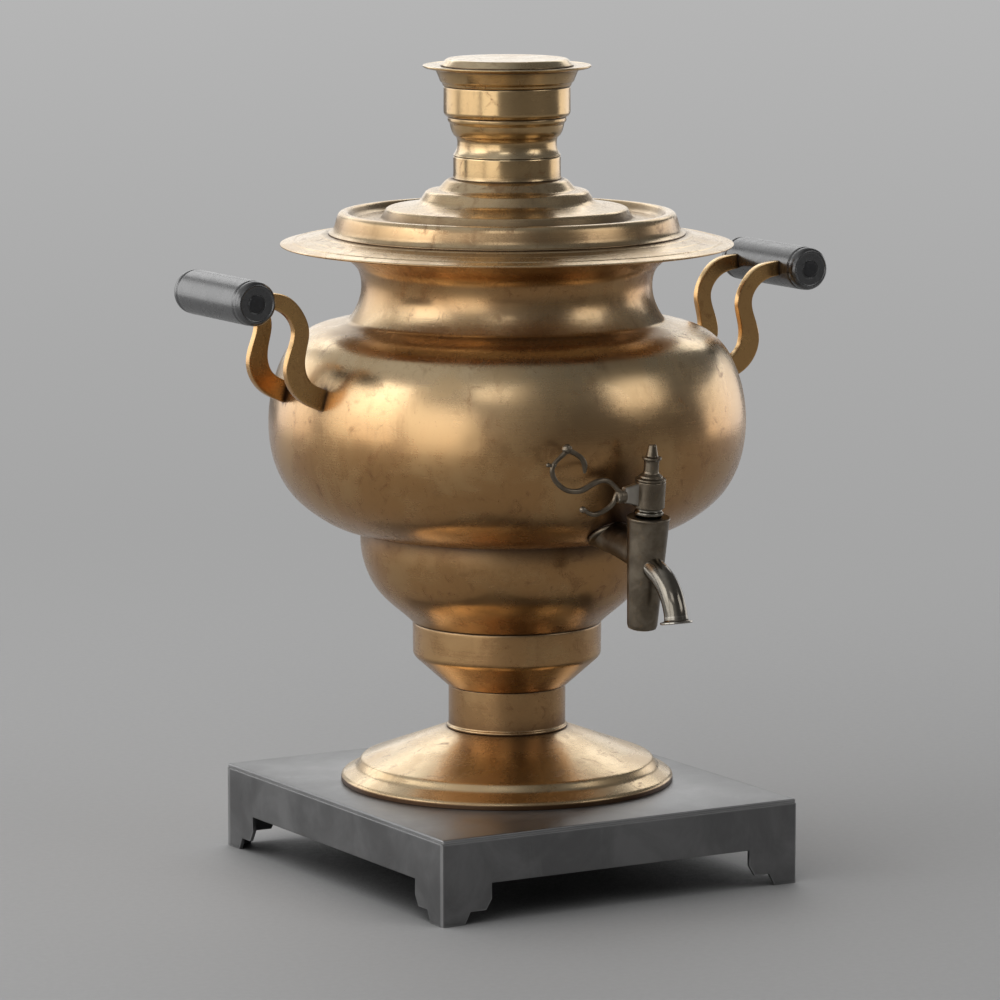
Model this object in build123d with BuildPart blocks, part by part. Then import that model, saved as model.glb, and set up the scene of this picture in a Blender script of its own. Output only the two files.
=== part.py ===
"""A samovar on its low sheet-steel stand, as separate pieces. Millimetres, +Z up.

The origin is the foot of the samovar's own axis, on the plane that the stand's feet touch.
The tap points along -Y and the two handles along +X and -X.
"""
import os
from math import cos, radians, sin

from build123d import *

os.makedirs("parts", exist_ok=True)

# Stand
stand_x = 249.3
stand_y = 275.3
stand_height = 52.6
stand_shift_x = -4.5
stand_shift_y = -8.2
stand_plate = 2.6
stand_sheet = 2.5
stand_bevel = 0.7
apron_depth = 26.4
foot_pad = 15.2
foot_lobe = 29.8
foot_width = 33.8
foot_rise = 7.5
foot_shoulder = 14.0
bracket_leg = 14.0
bracket_height = 20.0
draught_hole_r = 20.0

# Brass sheet and seats between sheet parts
sheet = 1.2
seat_gap = 0.3

# Pedestal
foot_r = 103.4
foot_rim_height = 3.2
foot_step_r = 91.0
foot_step_height = 13.6
foot_height = 33.5
neck_r = 36.4
neck_lip = 1.2
neck_height = 26.4
draught_way_r = 31.0
collar_r = 58.7
collar_cone_height = 18.2
collar_height = 40.5

# Vessel
bowl_r = 90.4
bowl_height = 58.0
bowl_tuck = 1.4
seam_flange = 8.7
belly_r = 147.8
belly_height = 129.2
throat_r = 89.7
throat_height = 53.8
brim_r = 139.8
brim_sheet = 1.5
brim_fall = 3.4
brim_lip = 2.1

# Fire tube and grate
floor_sheet = 1.4
tube_foot_r = 43.8
tube_top_r = 25.8
tube_flange = 7.0
tube_height = 280.4
fire_pot_height = 70.0
tube_neck_height = 262.0
grate_sheet = 3.0
grate_ledge = 3.8
grate_slot = 4.0
grate_slot_pitch = 9.0
grate_slot_length = 50.0

# Lid
lid_sheet = 1.3
lid_r = 110.0
lid_height = 34.0
lid_channel_r = 79.6
lid_dome_r = 73.0
lid_step_r = 53.4
lid_mouth_r = 36.2
lid_skirt_drop = 6.0
lid_skirt_seat = 13.6
lid_collar_r = 33.0
lid_collar_height = 14.0
tube_clearance = 0.4

# Crown that carries the teapot, and the cap on it
crown_foot_r = 33.0
crown_neck_r = 30.3
crown_neck_height = 24.2
crown_spigot_drop = 4.5
crown_spigot_fit = 0.5
crown_band_r = 39.0
crown_band_height = 18.6
crown_cove_r = 44.0
crown_cove_height = 10.1
crown_plate_r = 51.8
crown_plate_sheet = 2.3
cap_r = 40.8
cap_height = 4.6
cap_skirt_r = 35.2
cap_skirt_drop = 8.0

# Tap
droop = 10.5
barrel_tilt = 5.74
shank_length = 43.6
shank_r = 9.8
spigot_r = 6.5
spigot_length = 24.0
flow_r = 4.6
rosette_r = 13.4
rosette_sheet = 2.6
gasket_sheet = 0.8
lock_nut_width = 19.0
lock_nut_height = 5.0
lock_washer_r = 11.0
lock_washer_depth = 14.5
barrel_above_flow = 24.6
barrel_length = 69.2
barrel_r = 12.7
barrel_foot_r = 9.1
barrel_rim_r = 13.1
barrel_rim_height = 2.4
plug_top_r = 7.6
plug_taper = 1.6
plug_length = 55.0
plug_fit = 0.05
bore_depth = 59.0
passage_droop = 22.0
spout_r = 7.0
spout_bore_r = 5.0
spout_drop = 2.6
spout_lead = 15.5
spout_bend_r = 32.4
spout_pitch = 80.0
spout_tail = 3.0
spout_lip_r = 9.8
spout_lip = 1.6

# Key of the tap
key_ring_r = 8.7
key_ring_height = 5.4
key_stem_r = 4.0
hub_r = 9.2
hub_height = 16.5
web_reach = 18.0
web_sheet = 4.5
scroll_width = 2.8
scroll_sheet = 3.0
scroll_block = 5.2
finial_height = 22.0
finial_neck_r = 4.5
finial_collar_r = 7.0
finial_tip_r = 2.3

# Handles
grip_r = 13.6
grip_face_r = 10.8
grip_bevel = 4.0
grip_length = 85.0
grip_standoff = 48.2
grip_rise = 154.1
bar_sheet = 5.0
bar_spacing = 48.0
bar_tongue = 9.4
bar_root_drop = 63.3
rod_r = 3.0
rod_fit = 0.05
slot_fit = 0.15
cap_nut_r = 5.2
cap_nut_height = 3.0
cap_nut_inset = 0.4
stud_r = 2.2
stud_reach = 5.4
stud_fit = 0.1
strap_sheet = 1.5
strap_height = 17.0
strap_angle = 29.0
nut_width = 8.0
nut_height = 3.4

# Fits that follow the lid: its skirt drops into the throat, and its rim stands on the brim
lid_skirt_r = lid_r - 12.4
brim_seat_r = lid_r + 2.0
throat_end_r = brim_seat_r + 5.0

# Levels, each standing on the one before
level_stand = stand_height
level_neck = level_stand + foot_height
level_collar = level_neck + neck_height
level_bowl = level_collar + collar_height
level_belly = level_bowl + bowl_height
level_shoulder = level_belly + belly_height
level_brim = level_shoulder + throat_height
level_lid_collar = level_brim + lid_height
level_crown = level_lid_collar + lid_collar_height
level_band = level_crown + crown_neck_height
level_cove = level_band + crown_band_height
level_plate = level_cove + crown_cove_height
level_cap = level_plate + crown_plate_sheet
level_floor = level_bowl + sheet + floor_sheet

# Outlines as (share of the swell, share of the height), from the bottom up
bowl_curve = [(0, 0), (0.21, 0.103), (0.5, 0.241), (0.76, 0.414), (0.921, 0.612), (0.997, 0.793), (1, 1)]
belly_curve = [
    (0, 0), (0.225, 0.02), (0.537, 0.093), (0.721, 0.1625), (0.916, 0.302), (0.998, 0.488),
    (0.983, 0.619), (0.9, 0.766), (0.706, 0.906), (0.5, 0.963), (0.14, 1),
]
# Throat as (share of the spread out to the lid's seat, share of the height up to the brim)
throat_curve = [
    (0.13, 0.09), (0.018, 0.231), (0, 0.388), (0.058, 0.554), (0.251, 0.677), (0.641, 0.847), (1.04, 1),
]

belly_foot_r = bowl_r + seat_gap
belly_points = [
    (belly_foot_r + (belly_r - belly_foot_r) * u, level_belly + belly_height * v) for u, v in belly_curve
]
level_flange = level_brim - brim_sheet - sheet
throat_points = [
    (throat_r + (brim_seat_r - throat_r) * u, level_shoulder + (level_flange - level_shoulder) * v)
    for u, v in throat_curve
]


def wall_at(level):
    """The belly's radius at a level."""
    for (low_r, low), (high_r, high) in zip(belly_points, belly_points[1:]):
        if low <= level <= high:
            return low_r + (high_r - low_r) * (level - low) / (high - low)


def raised(points, level):
    """The same outline, standing on a level."""
    return [(r, level + z) for r, z in points]


def bent(points, thickness):
    """The section of a sheet: an outer line, and the line a thickness to its left, mitred."""
    outer = [Vector(*point) for point in points]
    ways = [(ahead - here).normalized() for here, ahead in zip(outer, outer[1:])]
    inner = []
    for i, corner in enumerate(outer):
        along = ways[max(i - 1, 0)] + ways[min(i, len(ways) - 1)]
        across = Vector(-along.Y, along.X)
        inner.append(corner + across * (2 * thickness / across.dot(across)))
    return outer + inner[::-1]


def lining(curve, depth, steps=48):
    """A smooth line a given depth to the left of a curve, drawn where it is called."""
    spots = [i / steps for i in range(steps + 1)]
    return Spline(*[curve @ t + Vector(-(curve % t).Y, (curve % t).X) * depth for t in spots])


def room_inside(depth):
    """The solid that fills the room a given depth inside the belly and throat."""
    with BuildPart() as room:
        with BuildSketch(Plane.XZ):
            with BuildLine():
                edge = lining(belly_edge, depth) if depth else Spline(*belly_points, *throat_points)
                Polyline(edge @ 0, (0, (edge @ 0).Y), (0, (edge @ 1).Y), edge @ 1)
            make_face()
        revolve(axis=Axis.Z)
    return room.part


def heading(angle):
    """Forward of the tap, and an angle in degrees below the level."""
    return Vector(0, -cos(radians(angle)), -sin(radians(angle)))


def save(piece, name):
    piece.part.label = name
    export_step(piece.part, f"parts/{name}.step")


# Stand: a plate on four aprons that are cut to leave a foot at each corner
plate_bottom = stand_height - stand_plate
apron_bottom = plate_bottom - apron_depth
with BuildPart() as stand_top:
    with BuildSketch(Plane.XY.offset(plate_bottom)):
        with Locations((stand_shift_x, stand_shift_y)):
            Rectangle(stand_x, stand_y)
        Circle(draught_hole_r, mode=Mode.SUBTRACT)
    extrude(amount=stand_plate)
    rims = stand_top.edges().filter_by(GeomType.LINE).filter_by(Axis.Z, reverse=True)
    chamfer(rims, length=stand_bevel)
save(stand_top, "stand_top")

foot_outline = [
    (foot_pad, 0), (foot_pad + (foot_width - foot_lobe), foot_rise), (foot_lobe, foot_rise),
    (foot_width, foot_shoulder), (foot_width, apron_bottom),
]
apron_sides = {
    "front": (Vector(0, -1, 0), stand_x, stand_y / 2, 0),
    "back": (Vector(0, 1, 0), stand_x, stand_y / 2, 0),
    "left": (Vector(-1, 0, 0), stand_y, stand_x / 2, stand_sheet),
    "right": (Vector(1, 0, 0), stand_y, stand_x / 2, stand_sheet),
}
stand_centre = Vector(stand_shift_x, stand_shift_y, 0)
for side, (outward, length, reach, butt) in apron_sides.items():
    face = Plane(
        origin=stand_centre + outward * reach, x_dir=Vector(0, 0, 1).cross(outward), z_dir=outward
    )
    half = length / 2
    with BuildPart() as apron:
        with BuildSketch(face):
            with BuildLine():
                Polyline(
                    (butt - half, 0),
                    *[(x - half, z) for x, z in foot_outline],
                    *[(half - x, z) for x, z in reversed(foot_outline)],
                    (half - butt, 0),
                    (half - butt, plate_bottom),
                    (butt - half, plate_bottom),
                    close=True,
                )
            make_face()
        extrude(amount=-stand_sheet)
        upper_edges = apron.faces().sort_by(Axis.Z)[-1].edges()
        top_edge = upper_edges.sort_by(lambda e: (e.center() - face.origin).dot(outward))[-1]
        chamfer(top_edge, length=stand_bevel)
    save(apron, f"stand_apron_{side}")

with BuildPart() as corner_brackets:
    with BuildSketch(Plane.XY.offset(plate_bottom - bracket_height)):
        inner_x = stand_x / 2 - stand_sheet
        inner_y = stand_y / 2 - stand_sheet
        for toward_x, toward_y in ((1, 1), (1, -1), (-1, 1), (-1, -1)):
            corner_x = stand_shift_x + toward_x * inner_x
            corner_y = stand_shift_y + toward_y * inner_y
            with Locations((corner_x - toward_x * bracket_leg / 2, corner_y - toward_y * bracket_leg / 2)):
                Rectangle(bracket_leg, bracket_leg)
            cut_x = corner_x - toward_x * (stand_sheet + bracket_leg) / 2
            cut_y = corner_y - toward_y * (stand_sheet + bracket_leg) / 2
            with Locations((cut_x, cut_y)):
                Rectangle(bracket_leg - stand_sheet, bracket_leg - stand_sheet, mode=Mode.SUBTRACT)
    extrude(amount=bracket_height)
save(corner_brackets, "stand_corner_brackets")

# Pedestal: foot, neck and collar, hollow for the draught
with BuildPart() as pedestal_foot:
    with BuildSketch(Plane.XZ):
        with BuildLine():
            Polyline(*bent(raised([
                (foot_r, 0), (foot_r, foot_rim_height), (foot_r - 1.2, foot_rim_height + 1.4),
                (foot_step_r + 3, foot_step_height - 4.6), (foot_step_r, foot_step_height),
                (foot_step_r - 2.5, foot_step_height + 1), (neck_r + neck_lip, foot_height),
                (draught_way_r, foot_height),
            ], level_stand), sheet), close=True)
        make_face()
    revolve(axis=Axis.Z)
save(pedestal_foot, "pedestal_foot")

with BuildPart() as pedestal_neck:
    with BuildSketch(Plane.XZ):
        with BuildLine():
            Polyline(*raised([
                (draught_way_r, 0), (neck_r + neck_lip, 0), (neck_r + neck_lip, 1.4), (neck_r, 2.2),
                (neck_r, neck_height), (draught_way_r, neck_height), (draught_way_r, neck_height - sheet),
                (neck_r - sheet, neck_height - sheet), (neck_r - sheet, sheet), (draught_way_r, sheet),
            ], level_neck), close=True)
        make_face()
    revolve(axis=Axis.Z)
save(pedestal_neck, "pedestal_neck")

with BuildPart() as pedestal_collar:
    with BuildSketch(Plane.XZ):
        with BuildLine():
            Polyline(*bent(raised([
                (draught_way_r, 0), (neck_r + 0.5, 0), (collar_r - 1.5, collar_cone_height),
                (collar_r - 0.2, collar_cone_height + 2.2), (collar_r, collar_height),
                (collar_r - seam_flange, collar_height),
            ], level_collar), sheet), close=True)
        make_face()
    revolve(axis=Axis.Z)
save(pedestal_collar, "pedestal_collar")

# Vessel: bowl, floor, belly in two spun halves, throat, and the wide brim
with BuildPart() as lower_bowl:
    with BuildSketch(Plane.XZ):
        with BuildLine():
            outer = Spline(*[
                (collar_r + (bowl_r - collar_r) * u, level_bowl + bowl_height * v) for u, v in bowl_curve
            ])
            inner = lining(outer, sheet)
            tuck = Vector(0, bowl_tuck)
            Polyline(outer @ 1, outer @ 1 + tuck, inner @ 1 + tuck, inner @ 1)
            Polyline(
                outer @ 0, (collar_r - seam_flange, level_bowl), (collar_r - seam_flange, level_bowl + sheet),
                ((inner @ 0).X - sheet / 3, level_bowl + sheet), inner @ 0,
            )
        make_face()
    revolve(axis=Axis.Z)
save(lower_bowl, "lower_bowl")

with BuildPart() as vessel_floor:
    with BuildSketch(Plane.XY.offset(level_floor - floor_sheet)):
        Circle(collar_r - sheet)
        Circle(tube_foot_r - grate_ledge, mode=Mode.SUBTRACT)
    extrude(amount=floor_sheet)
save(vessel_floor, "vessel_floor")

tap_r, tap_height = belly_points[2]
tap_root = Vector(0, -tap_r, tap_height)
flow = heading(droop)
flow_plane = Plane(origin=tap_root, x_dir=(1, 0, 0), z_dir=flow)
grip_x = belly_r + grip_standoff
grip_z = level_belly + grip_rise
stud_z = grip_z - bar_root_drop
bar_places = {"front": -bar_spacing / 2, "rear": bar_spacing / 2}
hands = {"left": -1, "right": 1}

with BuildLine() as belly_line:
    belly_edge = Spline(*belly_points, *throat_points)
outside_room = room_inside(0)
lining_room = room_inside(sheet)
strap_room = room_inside(sheet + strap_sheet)

with BuildPart() as body_form:
    with BuildSketch(Plane.XZ):
        with BuildLine():
            outer = Spline(*belly_points, *throat_points)
            inner = lining(outer, sheet)
            Line(outer @ 0, inner @ 0)
            Polyline(
                outer @ 1, (throat_end_r, level_flange), (throat_end_r, level_flange + sheet),
                ((outer @ 1).X - sheet / 3, level_flange + sheet), inner @ 1,
            )
        make_face()
    revolve(axis=Axis.Z)
    with BuildSketch(flow_plane):
        Circle(spigot_r + stud_fit)
    extrude(amount=lock_washer_r, both=True, mode=Mode.SUBTRACT)
    with BuildSketch(Plane.YZ):
        with Locations(*[(y, stud_z) for y in bar_places.values()]):
            Circle(stud_r + stud_fit)
    extrude(amount=belly_r, both=True, mode=Mode.SUBTRACT)

level_waist = belly_points[5][1]
body_rings = {
    "belly_lower": (level_belly, level_waist),
    "belly_upper": (level_waist, level_shoulder),
    "throat_ring": (level_shoulder, level_brim),
}
for name, (low, high) in body_rings.items():
    with BuildPart() as body_ring:
        add(body_form.part)
        with Locations((0, 0, low)):
            Cylinder(
                radius=2 * belly_r, height=high - low, mode=Mode.INTERSECT,
                align=(Align.CENTER, Align.CENTER, Align.MIN),
            )
    save(body_ring, name)

brim_slope_r = (brim_seat_r + brim_r) / 2
with BuildPart() as brim_ring:
    with BuildSketch(Plane.XZ):
        with BuildLine():
            Polyline(*raised([
                (lid_skirt_r + seat_gap, 0), (brim_seat_r, 0), (brim_slope_r, 1.3 - brim_fall),
                (brim_r - 0.8, -brim_fall), (brim_r, -brim_fall - 0.7), (brim_r - 0.2, -brim_fall - 1.6),
                (brim_r - 1.2, -brim_fall - brim_lip), (brim_r - 3, -brim_fall - brim_sheet),
                (brim_slope_r, 1.3 - brim_fall - brim_sheet), (throat_end_r, -brim_sheet),
                (lid_skirt_r + seat_gap, -brim_sheet),
            ], level_brim), close=True)
        make_face()
    revolve(axis=Axis.Z)
save(brim_ring, "brim_ring")

# Fire: the pot stands on the vessel's floor with the grate in it, the flue pipe stands on the pot
with BuildPart() as fire_pot:
    with BuildSketch(Plane.XZ):
        with BuildLine():
            Polyline(*bent(raised([
                (tube_foot_r + tube_flange, 0), (tube_foot_r, 0), (tube_foot_r, fire_pot_height),
            ], level_floor), -sheet), close=True)
        make_face()
    revolve(axis=Axis.Z)
save(fire_pot, "fire_pot")

with BuildPart() as flue_pipe:
    with BuildSketch(Plane.XZ):
        with BuildLine():
            Polyline(*bent(raised([
                (tube_foot_r, fire_pot_height), (tube_foot_r, fire_pot_height + sheet),
                (tube_top_r, tube_neck_height), (tube_top_r, tube_height),
            ], level_floor), -sheet), close=True)
        make_face()
    revolve(axis=Axis.Z)
save(flue_pipe, "flue_pipe")

with BuildPart() as grate:
    with BuildSketch(Plane.XY.offset(level_floor)):
        Circle(tube_foot_r - seat_gap)
        with GridLocations(0, grate_slot_pitch, 1, 5):
            SlotOverall(grate_slot_length, grate_slot, mode=Mode.SUBTRACT)
    extrude(amount=grate_sheet)
save(grate, "grate")

guide_r = tube_top_r + sheet + tube_clearance

# Lid: stepped cover in three rings, its locating skirt and the collar round the tube
with BuildPart() as lid_form:
    with BuildSketch(Plane.XZ):
        with BuildLine():
            Polyline(*bent(raised([
                (lid_r, 0), (lid_r, 1), (lid_r - 1.6, 3.4), (lid_r - 3.1, 6.8), (lid_r - 4.6, 9.6),
                (lid_r - 6.8, 12.4), (lid_r - 8.8, 13.6), (lid_r - 10.6, 13.8), (lid_r - 12, 13.2),
                (lid_r - 14.4, 9.8), (lid_r - 16.6, 8.6), (lid_channel_r, 8.6), (lid_channel_r - 2, 9.6),
                (lid_dome_r + 1.4, 15.4), (lid_dome_r, 16.2), (lid_step_r + 8.6, 17.8),
                (lid_step_r + 2.2, 19.4), (lid_step_r, 20.8),
                (lid_step_r - 3.2, 25.8), (lid_step_r - 4.8, 26.8),
                (lid_mouth_r + 6.4, 27.6), (lid_mouth_r + 5, 28.8), (lid_mouth_r + 1.4, 32.8),
                (lid_mouth_r, 33.6), (lid_mouth_r - 2, lid_height), (guide_r, lid_height),
            ], level_brim), lid_sheet), close=True)
        make_face()
    revolve(axis=Axis.Z)

lid_seam_r = lid_channel_r + 2.4
dome_seam_r = lid_step_r + 6
for name, outer_r, inner_r in (
    ("lid_rim", lid_r + 5, lid_seam_r), ("lid_dome", lid_seam_r, dome_seam_r), ("lid_crest", dome_seam_r, 0),
):
    with BuildPart() as lid_ring:
        add(lid_form.part)
        with Locations((0, 0, level_brim)):
            Cylinder(radius=outer_r, height=4 * lid_height, mode=Mode.INTERSECT)
            if inner_r:
                Cylinder(radius=inner_r, height=4 * lid_height, mode=Mode.SUBTRACT)
    save(lid_ring, name)

channel_underside = 8.6 - lid_sheet
with BuildPart() as lid_skirt:
    with BuildSketch(Plane.XZ):
        with BuildLine():
            Polyline(*bent(raised([
                (lid_skirt_r, -lid_skirt_drop), (lid_skirt_r, channel_underside),
                (lid_skirt_r - lid_skirt_seat, channel_underside),
            ], level_brim), sheet), close=True)
        make_face()
    revolve(axis=Axis.Z)
save(lid_skirt, "lid_skirt")

with BuildPart() as lid_collar:
    with BuildSketch(Plane.XZ):
        with BuildLine():
            Polyline(*raised([
                (guide_r, 0), (lid_collar_r + 0.6, 0), (lid_collar_r + 0.2, 1.4), (lid_collar_r, 3),
                (lid_collar_r, lid_collar_height - 0.8), (lid_collar_r - 0.4, lid_collar_height),
                (lid_collar_r - sheet, lid_collar_height),
                (lid_collar_r - sheet, 2), (guide_r, 2),
            ], level_lid_collar), close=True)
        make_face()
    revolve(axis=Axis.Z)
save(lid_collar, "lid_collar")

# Crown: neck with a spigot in the lid's collar, band, cove and the plate for the teapot
spigot_wall_r = lid_collar_r - sheet - crown_spigot_fit
with BuildPart() as crown_neck:
    with BuildSketch(Plane.XZ):
        with BuildLine():
            Polyline(*bent(raised([
                (crown_foot_r - 1, 0), (crown_foot_r, 0), (crown_foot_r, 0.6), (crown_foot_r - 0.6, 1.4),
                (crown_neck_r + 0.9, 3.8), (crown_neck_r + 0.4, 6), (crown_neck_r + 0.2, 9.4),
                (crown_neck_r + 1, 11.6), (crown_neck_r + 2.4, 12.6), (crown_neck_r + 3.8, 15.2),
                (crown_neck_r + 4.6, 18.2), (crown_neck_r + 4.9, 20), (crown_neck_r + 6.1, 21.4),
                (crown_neck_r + 6.3, crown_neck_height), (crown_neck_r + 3.2, crown_neck_height),
            ], level_crown), sheet), close=True)
        make_face()
        with Locations((spigot_wall_r, level_crown + 3)):
            Rectangle(sheet, crown_spigot_drop + 3, align=(Align.MAX, Align.MAX))
    revolve(axis=Axis.Z)
save(crown_neck, "crown_neck")

with BuildPart() as crown_band:
    with BuildSketch(Plane.XZ):
        with BuildLine():
            Polyline(*bent(raised([
                (crown_band_r - 4.8, 0), (crown_band_r - 1.6, 0), (crown_band_r - 0.2, 1.9),
                (crown_band_r, 3.4), (crown_band_r, crown_band_height),
                (crown_band_r - 4.5, crown_band_height),
            ], level_band), sheet), close=True)
        make_face()
    revolve(axis=Axis.Z)
save(crown_band, "crown_band")

with BuildPart() as crown_cove:
    with BuildSketch(Plane.XZ):
        with BuildLine():
            Polyline(*bent(raised([
                (crown_band_r - 4, 0), (crown_band_r + 0.3, 0), (crown_cove_r - 4.1, 2),
                (crown_cove_r - 3, 2.8), (crown_cove_r - 1.6, 6.4), (crown_cove_r, crown_cove_height),
                (crown_cove_r - 5, crown_cove_height),
            ], level_cove), sheet), close=True)
        make_face()
    revolve(axis=Axis.Z)
save(crown_cove, "crown_cove")

with BuildPart() as crown_plate:
    with BuildSketch(Plane.XZ):
        with BuildLine():
            Polyline(*raised([
                (cap_skirt_r + seat_gap, 0), (crown_cove_r + 0.4, 0), (crown_plate_r - 1.4, 0.9),
                (crown_plate_r, 1.7), (crown_plate_r, 2.3), (crown_plate_r - 0.5, crown_plate_sheet + 0.5),
                (crown_plate_r - 2.4, crown_plate_sheet), (cap_skirt_r + seat_gap, crown_plate_sheet),
            ], level_plate), close=True)
        make_face()
    revolve(axis=Axis.Z)
save(crown_plate, "crown_plate")

# Cap that closes the flue
with BuildPart() as cap_cover:
    with BuildSketch(Plane.XZ):
        with BuildLine():
            Polyline(*bent(raised([
                (cap_r, 0), (cap_r, 0.5), (cap_r - 3.1, cap_height - 0.8),
                (cap_r - 4.6, cap_height), (0, cap_height),
            ], level_cap), sheet), close=True)
        make_face()
    revolve(axis=Axis.Z)
save(cap_cover, "cap_cover")

with BuildPart() as cap_skirt:
    with BuildSketch(Plane.XZ):
        with BuildLine():
            Polyline(*bent(raised([
                (cap_skirt_r, -cap_skirt_drop), (cap_skirt_r, cap_height - sheet),
                (cap_skirt_r - 6, cap_height - sheet),
            ], level_cap), sheet), close=True)
        make_face()
    revolve(axis=Axis.Z)
save(cap_skirt, "cap_skirt")

# Tap: the shank leaves the belly's sloping underside, the barrel stands across it
tap_tangent = belly_edge.tangent_at(belly_edge.param_at_point((tap_r, tap_height, 0)))
belly_normal = Vector(0, -tap_tangent.Y, -tap_tangent.X)
rosette_plane = Plane(origin=tap_root, x_dir=(1, 0, 0), z_dir=belly_normal)
valve_centre = tap_root + flow * shank_length
barrel_axis = Vector(0, -sin(radians(barrel_tilt)), cos(radians(barrel_tilt)))
barrel_top = valve_centre + barrel_axis * barrel_above_flow
barrel_plane = Plane(origin=barrel_top, x_dir=(1, 0, 0), z_dir=Vector(1, 0, 0).cross(barrel_axis))
barrel_line = Axis(barrel_top, barrel_axis)
passage = heading(passage_droop)
passage_centre = valve_centre - barrel_axis * spout_drop
barrel_outline = [
    (barrel_rim_r - 0.8, 0), (barrel_rim_r, -0.8), (barrel_rim_r, -barrel_rim_height + 0.6),
    (barrel_r, -barrel_rim_height), (barrel_foot_r, 2.4 - barrel_length),
    (barrel_foot_r - 0.8, 0.8 - barrel_length), (barrel_foot_r - 2.4, -barrel_length), (0, -barrel_length),
]
plug_foot_r = plug_top_r - plug_length * sin(radians(plug_taper))
bore_foot_r = plug_top_r - bore_depth * sin(radians(plug_taper))

with BuildPart() as barrel_form:
    with BuildSketch(barrel_plane):
        with BuildLine():
            Polyline((0, 0), *barrel_outline, close=True)
        make_face()
    revolve(axis=barrel_line)

with BuildPart() as tap_gasket:
    with BuildSketch(rosette_plane.offset(-rosette_sheet)):
        Circle(rosette_r - 0.6)
    extrude(amount=rosette_sheet + gasket_sheet)
    with BuildSketch(flow_plane):
        Circle(shank_r + stud_fit)
    extrude(amount=shank_length, both=True, mode=Mode.SUBTRACT)
    add(outside_room, mode=Mode.SUBTRACT)
save(tap_gasket, "tap_gasket")

with BuildPart() as tap_rosette:
    with BuildSketch(rosette_plane.offset(gasket_sheet)):
        Circle(rosette_r)
    extrude(amount=rosette_sheet)
    rosette_rim = tap_rosette.faces().sort_by(Axis(tap_root, belly_normal))[-1].edges()
    fillet(rosette_rim, radius=0.45 * rosette_sheet)
    with BuildSketch(flow_plane):
        Circle(shank_r + stud_fit)
    extrude(amount=shank_length, both=True, mode=Mode.SUBTRACT)
save(tap_rosette, "tap_rosette")

with BuildPart() as tap_shank:
    with BuildSketch(flow_plane.offset(-lock_washer_r)):
        Circle(shank_r)
    extrude(amount=shank_length + lock_washer_r)
    add(outside_room, mode=Mode.SUBTRACT)
    with BuildSketch(flow_plane.offset(-spigot_length)):
        Circle(spigot_r)
    extrude(amount=spigot_length + lock_washer_r)
    with BuildSketch(flow_plane.offset(-spigot_length)):
        Circle(spout_bore_r)
    extrude(amount=spigot_length + shank_length, mode=Mode.SUBTRACT)
    add(barrel_form.part, mode=Mode.SUBTRACT)
save(tap_shank, "tap_shank")

with BuildPart() as tap_washer:
    with BuildSketch(flow_plane.offset(-lock_washer_depth)):
        Circle(lock_washer_r)
        Circle(spigot_r + stud_fit, mode=Mode.SUBTRACT)
    extrude(amount=2 * lock_washer_depth)
    add(lining_room, mode=Mode.INTERSECT)
save(tap_washer, "tap_washer")

with BuildPart() as tap_lock_nut:
    with BuildSketch(flow_plane.offset(-lock_washer_depth - lock_nut_height)):
        RegularPolygon(radius=lock_nut_width / 2, side_count=6, major_radius=False)
        Circle(spigot_r + stud_fit, mode=Mode.SUBTRACT)
    extrude(amount=lock_nut_height)
save(tap_lock_nut, "tap_lock_nut")

with BuildPart() as tap_barrel:
    with BuildSketch(barrel_plane):
        with BuildLine():
            Polyline(
                (plug_top_r, 0), *barrel_outline, (0, -bore_depth), (bore_foot_r, -bore_depth), close=True
            )
        make_face()
    revolve(axis=barrel_line)
    with BuildSketch(Plane(origin=passage_centre, x_dir=(1, 0, 0), z_dir=passage)):
        Circle(flow_r)
    extrude(amount=2 * barrel_r, both=True, mode=Mode.SUBTRACT)
save(tap_barrel, "tap_barrel")

bend_chord = 2 * spout_bend_r * sin(radians((spout_pitch - passage_droop) / 2))
spout_turn = heading((passage_droop + spout_pitch) / 2)
spout_fall = heading(spout_pitch)
spout_start = Plane(origin=passage_centre, x_dir=(1, 0, 0), z_dir=passage)
with BuildPart() as tap_spout:
    with BuildLine() as spout_path:
        lead = Line(passage_centre, passage_centre + passage * spout_lead)
        bend = TangentArc(lead @ 1, lead @ 1 + spout_turn * bend_chord, tangent=passage)
        tail = Line(bend @ 1, bend @ 1 + spout_fall * spout_tail)
    with BuildSketch(spout_start):
        Circle(spout_r)
    sweep(path=spout_path.wires()[0])
    with BuildSketch(Plane(origin=tail @ 1, x_dir=(1, 0, 0), z_dir=spout_fall)):
        Circle(spout_lip_r)
    extrude(amount=-spout_lip)
    with BuildSketch(spout_start):
        Circle(spout_bore_r)
    sweep(path=spout_path.wires()[0], mode=Mode.SUBTRACT)
    add(barrel_form.part, mode=Mode.SUBTRACT)
save(tap_spout, "tap_spout")

# Key: the plug turns in the barrel, and the hub, scroll and finial turn with it
plug_droop = radians(passage_droop - barrel_tilt)
flow_when_shut = Vector(-cos(plug_droop), 0, 0) - barrel_axis * sin(plug_droop)
with BuildPart() as key_plug:
    with BuildSketch(barrel_plane):
        with BuildLine():
            Polyline(
                (0, -plug_length), (plug_foot_r - plug_fit, -plug_length), (plug_top_r - plug_fit, 0),
                (plug_top_r - plug_fit, 0.3), (key_ring_r - 0.4, 0.5), (key_ring_r, 1.2), (key_ring_r, 3.6),
                (key_ring_r - 0.5, 4.2), (key_ring_r - 1.1, key_ring_height), (key_stem_r, key_ring_height),
                (key_stem_r, key_ring_height + hub_height), (0, key_ring_height + hub_height), close=True,
            )
        make_face()
    revolve(axis=barrel_line)
    with BuildSketch(Plane(origin=passage_centre, z_dir=flow_when_shut)):
        Circle(flow_r)
    extrude(amount=2 * barrel_r, both=True, mode=Mode.SUBTRACT)
save(key_plug, "key_plug")

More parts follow.
